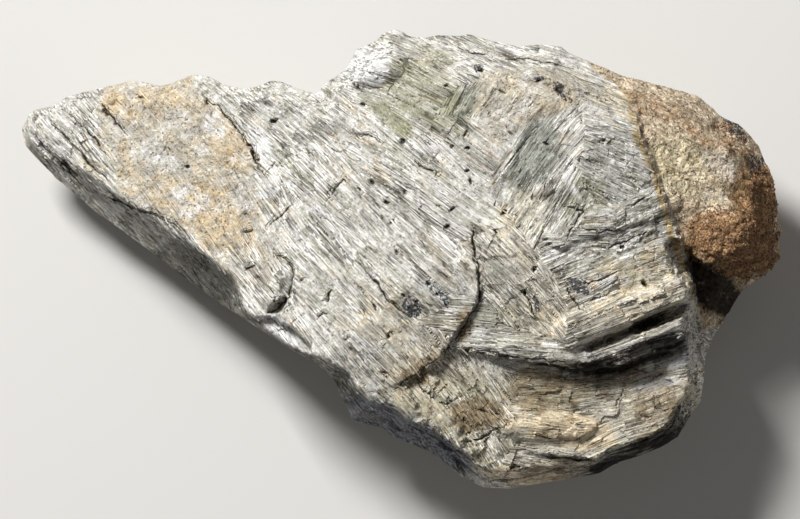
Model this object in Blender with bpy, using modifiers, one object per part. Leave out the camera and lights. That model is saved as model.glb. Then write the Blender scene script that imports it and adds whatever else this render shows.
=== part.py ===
"""Wollastonite specimen: one broken lump of bladed crystals, lying on a flat cleavage of its underside.

The lump is one solid. Seen from above it is a long wedge: a thin wing to the left, a thick body to the right,
and a rounded weathered shoulder at the right end. Tables are in millimetres; the scene is in metres, +Z up.
"""

import math

import bmesh
import bpy
import numpy as np
from mathutils import Vector, noise

MM = 0.001
LENGTH = 152.4  # along X, wing tip to weathered shoulder
WIDTH = 91.5  # along Y
BASE_BITE = 3.0  # depth of the slice that leaves the flat resting face
BLANK_THICKNESS = 20.0
BLANK_VOXEL = 0.8
BODY_VOXEL = 0.85
TRIANGLES = 9400

# The rim: the widest outline, clockwise from the wing's tip. Each stretch has the rise of the wall above it
# and of the wall below it, in millimetres per millimetre inwards, and points of x, y and height.
RIM = [
    ("wing tip", 1.9, 1.0, [
        (-76.2, 26.2, 17), (-74.8, 29.2, 18), (-73.0, 30.2, 19), (-69.4, 30.9, 21),
    ]),
    ("wing back edge", 1.2, 2.4, [
        (-66.8, 32.6, 22), (-63.8, 33.6, 23), (-59.8, 34.5, 24), (-53.7, 35.9, 26), (-48.0, 34.8, 28),
        (-45.3, 35.5, 28), (-41.5, 37.1, 29), (-38.6, 36.7, 30), (-34.6, 34.7, 32), (-30.8, 34.2, 33),
        (-28.6, 34.6, 33), (-26.0, 35.8, 33), (-23.6, 35.5, 34), (-21.0, 34.3, 35), (-16.3, 32.9, 37),
    ]),
    ("pale knob", 1.6, 2.6, [
        (-15.8, 34.7, 37), (-11.2, 37.8, 38), (-9.9, 40.3, 38), (-8.7, 42.3, 38), (-6.8, 42.7, 38),
        (-4.8, 43.9, 37), (-4.0, 44.9, 37), (-1.3, 45.9, 36), (0.4, 45.4, 36), (1.1, 44.6, 36),
    ]),
    ("body back edge", 1.3, 2.2, [
        (4.4, 44.2, 35), (7.6, 44.8, 34), (11.4, 44.6, 34), (13.2, 45.0, 34), (18.6, 43.5, 34),
        (23.4, 42.6, 33), (28.0, 43.0, 32), (31.8, 42.6, 32), (33.2, 41.3, 32), (39.6, 38.7, 32),
        (43.8, 36.8, 31),
    ]),
    ("weathered shoulder", 1.5, 2.0, [
        (53.0, 34.5, 28), (59.2, 32.7, 26), (62.2, 30.2, 26), (63.8, 28.7, 25), (67.4, 27.2, 24),
        (71.4, 22.9, 23), (72.4, 20.1, 23), (74.2, 16.4, 22), (75.4, 8.0, 22), (76.2, 5.8, 22),
        (75.2, 4.2, 21), (75.7, 0.3, 20), (74.2, -1.6, 19),
    ]),
    ("lip under the shoulder", 1.0, 1.6, [
        (71.4, -4.0, 17), (68.3, -6.1, 16), (65.2, -11.0, 16), (63.1, -14.8, 18),
    ]),
    ("right end", 2.0, 1.8, [
        (60.7, -18.9, 26), (60.4, -22.0, 28), (59.7, -28.2, 28), (58.0, -30.2, 27),
    ]),
    ("foot right", 2.6, 1.4, [
        (56.8, -32.8, 25), (55.2, -35.4, 25), (51.8, -37.5, 25), (47.6, -39.2, 26), (42.8, -40.6, 26),
        (39.4, -42.7, 26),
    ]),
    ("foot", 2.4, 1.8, [
        (31.8, -44.0, 26), (25.6, -44.9, 27), (21.8, -45.6, 27), (16.4, -45.4, 27), (13.2, -44.0, 26),
    ]),
    ("dark side", 2.8, 1.4, [
        (9.4, -40.9, 25), (4.2, -37.7, 24), (-2.0, -35.4, 24), (-3.3, -33.7, 24),
        (-7.8, -32.7, 24), (-9.9, -32.0, 24), (-10.7, -29.9, 24), (-12.4, -27.2, 30), (-13.0, -24.4, 33),
    ]),
    ("below the chip", 6.0, 1.4, [
        (-16.4, -21.0, 35), (-22.0, -17.8, 36), (-30.6, -12.2, 31),
    ]),
    ("wing front edge", 1.8, 1.2, [
        (-35.8, -9.3, 18), (-44.0, -3.3, 15), (-52.0, 2.9, 14), (-61.1, 9.5, 14), (-69.0, 16.2, 15),
        (-73.0, 20.2, 17), (-75.2, 22.8, 17),
    ]),
]

# Flat faces of the upper side: a point on each, and its slope towards +X and towards +Y.
UPPER_FACES = {
    "wing face": ((-62, 26, 27), (0.34, -0.06)),
    "body face": ((13, 6, 51.5), (0.03, -0.09)),
    "front face": ((0, -20, 46.5), (0.06, 0.26)),
    "foot face": ((22, -30, 41.9), (-0.1, 0.36)),
    "back bevel": ((25, 36, 47), (-0.05, -0.85)),
    "blade face": ((45, 0, 49.5), (-0.13, 0.05)),
    "shoulder top": ((50, 17, 45.5), (-0.42, -0.06)),
    "shoulder side": ((68, 12, 37), (-0.95, -0.05)),
    "shoulder back": ((60, 25, 39), (-0.55, -0.9)),
}

# Flat faces of the underside, in the same way. The level one becomes the resting face.
UNDER_FACES = {
    "rest": ((0, 0, -BASE_BITE), (0, 0)),
    "under the wing": ((-30, 0, -BASE_BITE), (-0.34, 0.05)),
    "back undercut": ((0, 18, -BASE_BITE), (0.05, 1.1)),
    "back right undercut": ((44, 16, -BASE_BITE), (0.42, 0.62)),
    "right undercut": ((49, 0, -BASE_BITE), (0.6, -0.08)),
    "front undercut": ((0, -27, -BASE_BITE), (0.1, -0.95)),
    "front left undercut": ((-28, -8, -BASE_BITE), (-0.35, -0.65)),
}

# Flat cuts into the upper side: an outline in plan, then the cut face's point and slope as above.
CUTS = {
    "white chip": (
        [(-33.0, -11.4), (-25.4, -11.4), (-22.4, -13.0), (-18.0, -17.4), (-17.0, -23.0), (-36.0, -15.0)],
        ((-25, -14, 38.4), (0.1, -0.1)),
    ),
    "step below the shoulder": (
        [(57.2, 2.5), (59.6, -1.0), (63.6, -3.0), (68.6, -3.4), (74.2, -1.6), (80, -3), (75, -14),
         (66, -20), (62.0, -16.5), (60.2, -12.0), (58.8, -8.0), (57.4, -3.0)],
        ((64, -9, 22), (-0.35, 0.25)),
    ),
    "front notch": (
        [(15.5, -31.0), (19.5, -34.5), (16.5, -37.0), (12.0, -37.5), (11.5, -33.5)],
        ((15, -34, 40.3), (-0.1, 0.36)),
    ),
    "end block": (
        [(50.0, -19.5), (60.5, -16.0), (64.0, -24.0), (58.0, -24.5), (49.5, -23.5)],
        ((55, -20, 38), (-0.2, 0.1)),
    ),
}

# Breaks in the upper side. The ground to the right of each line, as it runs, drops at once by the first
# number at the line's start and the second at its end, and climbs back over a distance of the third.
LEDGES = {
    "blade ledge": (1.5, 7.0, 12.0, [
        (8.5, -17.2), (14.6, -18.6), (20.2, -19.4), (26.6, -20.4), (34.8, -21.6), (42.2, -21.0), (49.6, -18.6),
        (58.4, -15.4),
    ]),
    "crevice wall": (2.6, 1.3, 8.0, [
        (0.6, -24.0), (3.6, -22.6), (6.8, -20.0), (9.6, -16.0), (12.6, -11.6), (15.0, -8.0), (15.8, -4.6),
        (15.2, 0.0),
    ]),
    "shoulder scarp": (3.6, 1.4, 14.0, [
        (58.6, -10.0), (58.0, -5.0), (56.0, 2.0), (53.4, 9.0), (50.6, 17.0), (48.0, 23.0), (46.6, 29.0),
        (41.0, 35.0), (34.0, 39.5),
    ]),
    "crust edge": (1.2, 1.6, 12.0, [
        (-26.8, 16.4), (-29.2, 20.4), (-31.0, 23.6), (-33.4, 26.0), (-36.0, 27.6), (-38.4, 30.0), (-39.8, 33.4),
    ]),
    "foot step": (0.8, 2.8, 8.0, [
        (26.0, -38.6), (30.0, -39.2), (35.0, -39.9), (40.0, -39.6),
    ]),
}

# Long bundles of blades that stand proud, or sink where the rise is negative: from, to, half width, rise.
BUNDLES = {
    "upper log": ((33.0, -14.4), (56.4, -5.4), 3.0, 2.6),
    "groove under it": ((37.0, -17.2), (57.4, -8.8), 1.3, -6.0),
    "lower log": ((37.0, -19.6), (57.0, -11.8), 1.1, 0.9),
    "ledge lip": ((20.0, -17.6), (36.0, -19.0), 1.8, 0.9),
    "cross blade": ((21.8, 13.6), (29.2, 27.0), 3.2, -0.9),
    "right blade": ((31.0, 5.0), (53.0, 12.0), 2.6, 1.3),
    "middle blade": ((33.0, -5.5), (54.0, 1.5), 2.4, 0.3),
    "long blade": ((4.0, 30.0), (27.0, 15.0), 2.6, 1.0),
    "back ridge": ((8.0, 41.5), (42.0, 34.0), 2.2, 1.4),
    "front spur": ((-6.0, -14.0), (12.0, -37.0), 3.0, 1.2),
    "wing rib": ((-74.0, 27.0), (-52.0, 10.0), 2.4, 1.0),
}

# Rounded lumps, and hollows where the height is negative: centre, radii, turn in degrees, height.
LUMPS = {
    "pale knob": ((-5.0, 39.8), (6.5, 5.5), 20, 3.2),
    "shoulder bulge": ((67.0, 5.0), (8.5, 7.0), -15, 4.2),
    "shoulder hollow": ((56.6, -1.5), (7.0, 2.6), -58, -7.0),
    "corner notch": ((-22.4, -6.6), (1.5, 3.4), 20, -2.6),
    "corner pit": ((-24.4, -9.2), (2.4, 1.2), 30, -3.4),
    "dark pit": ((2.4, -9.0), (2.8, 2.0), -50, -1.4),
    "cream swell": ((27.0, -32.5), (12.0, 3.6), -5, 1.8),
    "end block": ((55.0, -20.5), (4.6, 2.6), 15, 1.8),
}

# The run of the blades: each place follows the nearest of these, given by x, y, turn in degrees and relief.
RUNS = {
    "wing tip": (-66, 24, -47, 0.8),
    "wing": (-47, 18, -49, 0.7),
    "wing back": (-38, 31, -40, 0.7),
    "wing root": (-28, 8, -57, 0.8),
    "fan back": (-14, 27, -34, 1.0),
    "fan middle": (-10, 8, -42, 1.0),
    "fan front": (-6, -12, -48, 1.0),
    "front face": (-2, -24, -52, 1.0),
    "spur": (12, -31, -60, 1.0),
    "back": (14, 36, -29, 0.9),
    "back right": (38, 33, -20, 0.8),
    "centre": (12, 18, -40, 0.9),
    "cross blade": (27, 19, 57, 0.9),
    "bright block": (38, 21, -18, 0.7),
    "right block": (44, 8, 18, 1.0),
    "right front": (36, -4, 24, 1.0),
    "logs": (48, -12, 22, 0.9),
    "wedge": (22, -10, -52, 0.9),
    "recess": (28, -27, 4, 0.9),
    "foot": (26, -39, -6, 0.9),
    "right end": (52, -27, 24, 1.1),
    "shoulder": (62, 18, -22, 0.7),
    "shoulder end": (68, 0, -30, 0.8),
}

BLADE_SIZE = (30.0, 4.4, 5.0)  # along, across and through
BLADE_RELIEF = 0.75
GRAIN_SIZE = (11.0, 1.9, 2.2)
GRAIN_RELIEF = 0.25
CALM_EDGE = 4.0  # the relief fades this close to the rim, to keep the outline
WALL_WIDTH = 7.0  # the walls' slope doubles about this far in from the rim
LEVELLING = 1.2  # reach over which neighbouring rim points are averaged


def rim_points():
    """x, y, height, upper rise and under rise of every rim point, sized to LENGTH and WIDTH."""
    rows = [(*point, up, under) for _, up, under, points in RIM for point in points]
    table = np.array(rows, float)
    span = table[:, :2].max(0) - table[:, :2].min(0)
    table[:, :2] *= np.array([LENGTH, WIDTH]) / span
    return table


def to_segments(x, y, points):
    """Distance, share along and side of each place to each segment of a line of points."""
    start, end = points[:-1], points[1:]
    run = end - start
    px = x[:, None] - start[:, 0]
    py = y[:, None] - start[:, 1]
    share = np.clip((px * run[:, 0] + py * run[:, 1]) / (run**2).sum(1), 0, 1)
    distance = np.hypot(px - share * run[:, 0], py - share * run[:, 1])
    side = np.sign(run[:, 1] * px - run[:, 0] * py)
    return distance, share, side


def rim_at(x, y, rim):
    """Distance in from the rim, and the rim's height and its walls' rises there, averaged over what is near."""
    loop = np.vstack([rim, rim[:1]])
    distance, share, _ = to_segments(x, y, loop[:, :2])
    nearest = distance.min(1)
    weight = np.exp(-(distance - nearest[:, None]) / LEVELLING)
    weight /= weight.sum(1)[:, None]
    values = [
        ((loop[:-1, k] * (1 - share) + loop[1:, k] * share) * weight).sum(1) for k in (2, 3, 4)
    ]
    return nearest, *values


def face_height(x, y, face):
    (px, py, pz), (toward_x, toward_y) = face
    return pz + toward_x * (x - px) + toward_y * (y - py)


def ledge_drop(x, y, ledge):
    """A scarp: zero to the left of its line, and a drop that climbs back with distance to the right."""
    start_drop, end_drop, reach, points = ledge
    distance, share, side = to_segments(x, y, np.array(points, float))
    nearest = distance.argmin(1)
    rows = np.arange(len(x))
    off_end = (nearest == 0) & (share[rows, 0] <= 0) | (nearest == len(points) - 2) & (share[rows, -1] >= 1)
    away = distance[rows, nearest]
    progress = (nearest + share[rows, nearest]) / (len(points) - 1)
    drop = start_drop + (end_drop - start_drop) * progress
    fall = drop * np.exp(-((away / reach) ** 1.5))
    fall *= np.where(off_end, np.exp(-away / 2.0), 1)
    return np.where(side[rows, nearest] > 0, -fall, 0)


def bundle_rise(x, y, bundle):
    """A long ridge with a nearly flat back and square ends; a negative rise makes a trough."""
    start, end, half_width, rise = bundle
    distance, share, _ = to_segments(x, y, np.array([start, end], float))
    across = np.clip(1 - (distance[:, 0] / half_width) ** 4, 0, None)
    return rise * np.sqrt(across)


def lump_rise(x, y, lump):
    (cx, cy), (long, wide), turn, height = lump
    c, s = math.cos(math.radians(turn)), math.sin(math.radians(turn))
    u = ((x - cx) * c + (y - cy) * s) / long
    v = ((y - cy) * c - (x - cx) * s) / wide
    return height * np.clip(1 - u * u - v * v, 0, None) ** 0.8


def inside(x, y, outline):
    """Whether each place is inside a closed outline."""
    odd = np.zeros(len(x), bool)
    points = np.array(outline, float)
    for (ax, ay), (bx, by) in zip(points, np.roll(points, -1, axis=0)):
        if ay != by:
            odd ^= ((ay > y) != (by > y)) & (x < (bx - ax) * (y - ay) / (by - ay) + ax)
    return odd


def wall_reach(inward):
    """Makes the walls steepen away from the rim, so that they end and the flat faces take over."""
    return inward * (1 + (inward / WALL_WIDTH) ** 2)


def upper_side(x, y, rim):
    """Height of the upper side over each place in plan."""
    inward, rim_height, rise, _ = rim_at(x, y, rim)
    wall = rim_height + rise * wall_reach(inward)
    height = np.minimum.reduce([face_height(x, y, face) for face in UPPER_FACES.values()])
    features = sum(ledge_drop(x, y, ledge) for ledge in LEDGES.values())
    features = features + sum(bundle_rise(x, y, bundle) for bundle in BUNDLES.values())
    features = features + sum(lump_rise(x, y, lump) for lump in LUMPS.values())
    height = np.minimum(wall, height + features)
    for outline, face in CUTS.values():
        height = np.where(inside(x, y, outline), np.minimum(height, face_height(x, y, face)), height)
    return height


def under_side(x, y, rim):
    """Height of the underside under each place in plan."""
    inward, rim_height, _, fall = rim_at(x, y, rim)
    wall = rim_height - fall * wall_reach(inward)
    height = np.maximum.reduce([face_height(x, y, face) for face in UNDER_FACES.values()])
    return np.maximum(wall, height)


def coordinates(mesh):
    flat = np.empty(len(mesh.vertices) * 3)
    mesh.vertices.foreach_get("co", flat)
    return flat.reshape(-1, 3)


def set_coordinates(mesh, places):
    mesh.vertices.foreach_set("co", places.ravel())
    mesh.update()


def with_modifier(obj, kind, **settings):
    """Adds a modifier and keeps its result as the object's own mesh."""
    modifier = obj.modifiers.new(kind.title(), kind)
    for name, value in settings.items():
        setattr(modifier, name, value)
    graph = bpy.context.evaluated_depsgraph_get()
    mesh = bpy.data.meshes.new_from_object(obj.evaluated_get(graph))
    obj.modifiers.clear()
    obj.data = mesh
    return mesh


def blank(collection, rim):
    """A flat slab cut to the rim's outline, evenly meshed."""
    curve = bpy.data.curves.new("rim", "CURVE")
    curve.dimensions = "2D"
    curve.fill_mode = "BOTH"
    curve.extrude = BLANK_THICKNESS / 2
    line = curve.splines.new("POLY")
    line.points.add(len(rim) - 1)
    for point, row in zip(line.points, rim):
        point.co = (row[0], row[1], 0, 1)
    line.use_cyclic_u = True
    outline = bpy.data.objects.new("rim", curve)
    collection.objects.link(outline)
    graph = bpy.context.evaluated_depsgraph_get()
    mesh = bpy.data.meshes.new_from_object(outline.evaluated_get(graph))
    bpy.data.objects.remove(outline)
    slab = bpy.data.objects.new("wollastonite_specimen", mesh)
    collection.objects.link(slab)
    with_modifier(slab, "REMESH", mode="VOXEL", voxel_size=BLANK_VOXEL)
    return slab


def shape(slab, rim):
    """Moves the slab's top to the upper side and its bottom to the underside, then meshes it evenly again."""
    places = coordinates(slab.data)
    x, y = places[:, 0], places[:, 1]
    share = np.clip(places[:, 2] / BLANK_THICKNESS + 0.5, 0, 1)
    low, high = under_side(x, y, rim), upper_side(x, y, rim)
    places[:, 2] = low + (np.maximum(high, low) - low) * share
    set_coordinates(slab.data, places)
    with_modifier(slab, "REMESH", mode="VOXEL", voxel_size=BODY_VOXEL)


def cell_value(place):
    """A steady value from -1 to 1 for the crystal cell that a place lies in."""
    _, points = noise.voronoi(place)
    return noise.cell(points[0] * 7.31) * 2 - 1


def run_axes(turn):
    """Unit vectors along, across and through a blade that runs at this turn."""
    turn = math.radians(turn)
    along = Vector((math.cos(turn), math.sin(turn), 0.1)).normalized()
    across = Vector((-math.sin(turn), math.cos(turn), 0))
    return along, across, along.cross(across)


def split_into_blades(body, rim):
    """Raises and sinks the surface blade by blade, along the nearest run."""
    runs = [(Vector((x, y, 0)), run_axes(turn), relief) for x, y, turn, relief in RUNS.values()]
    places = coordinates(body.data)
    calm = np.clip(rim_at(places[:, 0], places[:, 1], rim)[0] / CALM_EDGE, 0.35, 1)
    moved = []
    for vertex, ease in zip(body.data.vertices, calm):
        wander = noise.noise_vector(vertex.co / 9) * 4
        spot = Vector((vertex.co.x + wander.x, vertex.co.y + wander.y, 0))
        _, axes, relief = min(runs, key=lambda run: (run[0] - spot).length_squared)
        local = Vector(vertex.co.dot(axis) for axis in axes) + noise.noise_vector(vertex.co / 14) * 1.6
        blade = cell_value(Vector(local[k] / BLADE_SIZE[k] for k in range(3)))
        grain = cell_value(Vector(local[k] / GRAIN_SIZE[k] for k in range(3)))
        step = (blade * BLADE_RELIEF + grain * GRAIN_RELIEF) * relief * ease
        moved.append(vertex.co + vertex.normal * step)
    for vertex, place in zip(body.data.vertices, moved):
        vertex.co = place
    body.data.update()


def thin_out(body):
    """Joins small faces until TRIANGLES are left, which keeps the edges and the ledges."""
    body.data.calc_loop_triangles()
    with_modifier(body, "DECIMATE", ratio=TRIANGLES / len(body.data.loop_triangles), use_collapse_triangulate=True)


def drop_specks(body):
    """Removes any speck that the meshing left apart from the main body."""
    work = bmesh.new()
    work.from_mesh(body.data)
    unseen = set(work.verts)
    groups = []
    while unseen:
        group = {unseen.pop()}
        edge_of_group = list(group)
        while edge_of_group:
            vertex = edge_of_group.pop()
            near = {edge.other_vert(vertex) for edge in vertex.link_edges} & unseen
            unseen -= near
            group |= near
            edge_of_group.extend(near)
        groups.append(group)
    groups.sort(key=len)
    for group in groups[:-1]:
        bmesh.ops.delete(work, geom=list(group), context="VERTS")
    work.to_mesh(body.data)
    work.free()


def cut_resting_face(body, collection):
    """Slices the underside off level, which leaves one flat face to rest on."""
    mesh = bpy.data.meshes.new("slice")
    block = bmesh.new()
    bmesh.ops.create_cube(block, size=4 * LENGTH)
    bmesh.ops.translate(block, verts=block.verts[:], vec=(0, 0, -2 * LENGTH))
    block.to_mesh(mesh)
    block.free()
    cutter = bpy.data.objects.new("slice", mesh)
    cutter.hide_render = True
    collection.objects.link(cutter)
    with_modifier(body, "BOOLEAN", operation="DIFFERENCE", object=cutter, solver="EXACT")
    bpy.data.objects.remove(cutter)


def to_metres(body):
    """Sizes the body in plan, centres it over its resting face's level and scales it to metres."""
    places = coordinates(body.data)
    places[:, :2] *= np.array([LENGTH, WIDTH]) / np.ptp(places[:, :2], axis=0)
    low, high = places.min(0), places.max(0)
    places -= np.array([(low[0] + high[0]) / 2, (low[1] + high[1]) / 2, low[2]])
    set_coordinates(body.data, places * MM)


def stone_material():
    material = bpy.data.materials.new("wollastonite")
    material.use_nodes = True
    surface = material.node_tree.nodes["Principled BSDF"]
    surface.inputs["Base Color"].default_value = (0.56, 0.53, 0.46, 1)
    surface.inputs["Roughness"].default_value = 0.6
    surface.inputs["Metallic"].default_value = 0
    return material


def main():
    for obj in list(bpy.data.objects):
        bpy.data.objects.remove(obj)
    collection = bpy.data.collections.new("wollastonite specimen")
    bpy.context.scene.collection.children.link(collection)
    rim = rim_points()
    body = blank(collection, rim)
    shape(body, rim)
    split_into_blades(body, rim)
    thin_out(body)
    cut_resting_face(body, collection)
    drop_specks(body)
    to_metres(body)
    body.data.materials.clear()
    body.data.materials.append(stone_material())


main()
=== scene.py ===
import math

import bmesh
import bpy
import numpy as np
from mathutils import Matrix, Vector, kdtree


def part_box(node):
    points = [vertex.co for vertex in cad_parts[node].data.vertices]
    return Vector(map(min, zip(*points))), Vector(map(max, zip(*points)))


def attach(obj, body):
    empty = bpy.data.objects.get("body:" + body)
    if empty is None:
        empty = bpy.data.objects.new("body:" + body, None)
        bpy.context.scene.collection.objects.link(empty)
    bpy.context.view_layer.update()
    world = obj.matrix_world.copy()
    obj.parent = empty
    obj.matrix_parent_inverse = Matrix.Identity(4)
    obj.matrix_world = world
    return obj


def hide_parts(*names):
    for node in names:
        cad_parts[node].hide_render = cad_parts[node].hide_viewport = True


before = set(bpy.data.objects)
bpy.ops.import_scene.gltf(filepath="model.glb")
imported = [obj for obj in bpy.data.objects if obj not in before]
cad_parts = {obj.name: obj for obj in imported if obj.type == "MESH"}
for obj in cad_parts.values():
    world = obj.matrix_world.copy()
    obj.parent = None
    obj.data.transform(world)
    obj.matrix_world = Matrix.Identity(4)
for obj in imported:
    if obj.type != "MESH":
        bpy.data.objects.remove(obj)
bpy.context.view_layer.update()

mm = 0.001


# noise that gives the same value for the same place every time

def hashOf(*counts, seed=0):
    mixed = np.full(counts[0].shape, seed * 668265263 % 2**32, np.uint32)
    for count, prime in zip(counts, (374761393, 2246822519, 3266489917, 1274126177)):
        mixed ^= count.astype(np.int64).astype(np.uint32) * np.uint32(prime)
        mixed *= np.uint32(2654435761)
        mixed ^= mixed >> np.uint32(15)
    return (mixed & np.uint32(0xFFFFFF)) / 2.0**24


def softNoise(places, size, seed=0):
    # wanders smoothly between -1 and 1 over about the given size
    scaled = places / size
    base = np.floor(scaled)
    share = scaled - base
    share = share * share * (3 - 2 * share)
    total = np.zeros(len(places))
    for corner in np.ndindex(2, 2, 2):
        weight = np.prod(np.where(corner, share, 1 - share), axis=1)
        total += weight * hashOf(*(base + corner).T, seed=seed)
    return total * 2 - 1


def layeredNoise(places, layers):
    # adds up noise of several sizes: each layer is size, weight and seed
    return sum(softNoise(places, size, seed) * weight for size, weight, seed in layers)


def unevenCells(value, keys, seed, jitter):
    # cells along one axis with uneven borders: the cell, the share of the way across, how far its border is
    base = np.floor(value)

    def border(step):
        return base + step + jitter * (2 * hashOf(base + step, *keys, seed=seed) - 1)

    before, after = value < border(0), value > border(1)
    low = np.where(before, border(-1), np.where(after, border(1), border(0)))
    high = np.where(before, border(0), np.where(after, border(2), border(1)))
    return base + after - before, (value - low) / (high - low), np.minimum(value - low, high - value)


# the lump: its rim, flat faces, ledges and bundles, in millimetres

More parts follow.
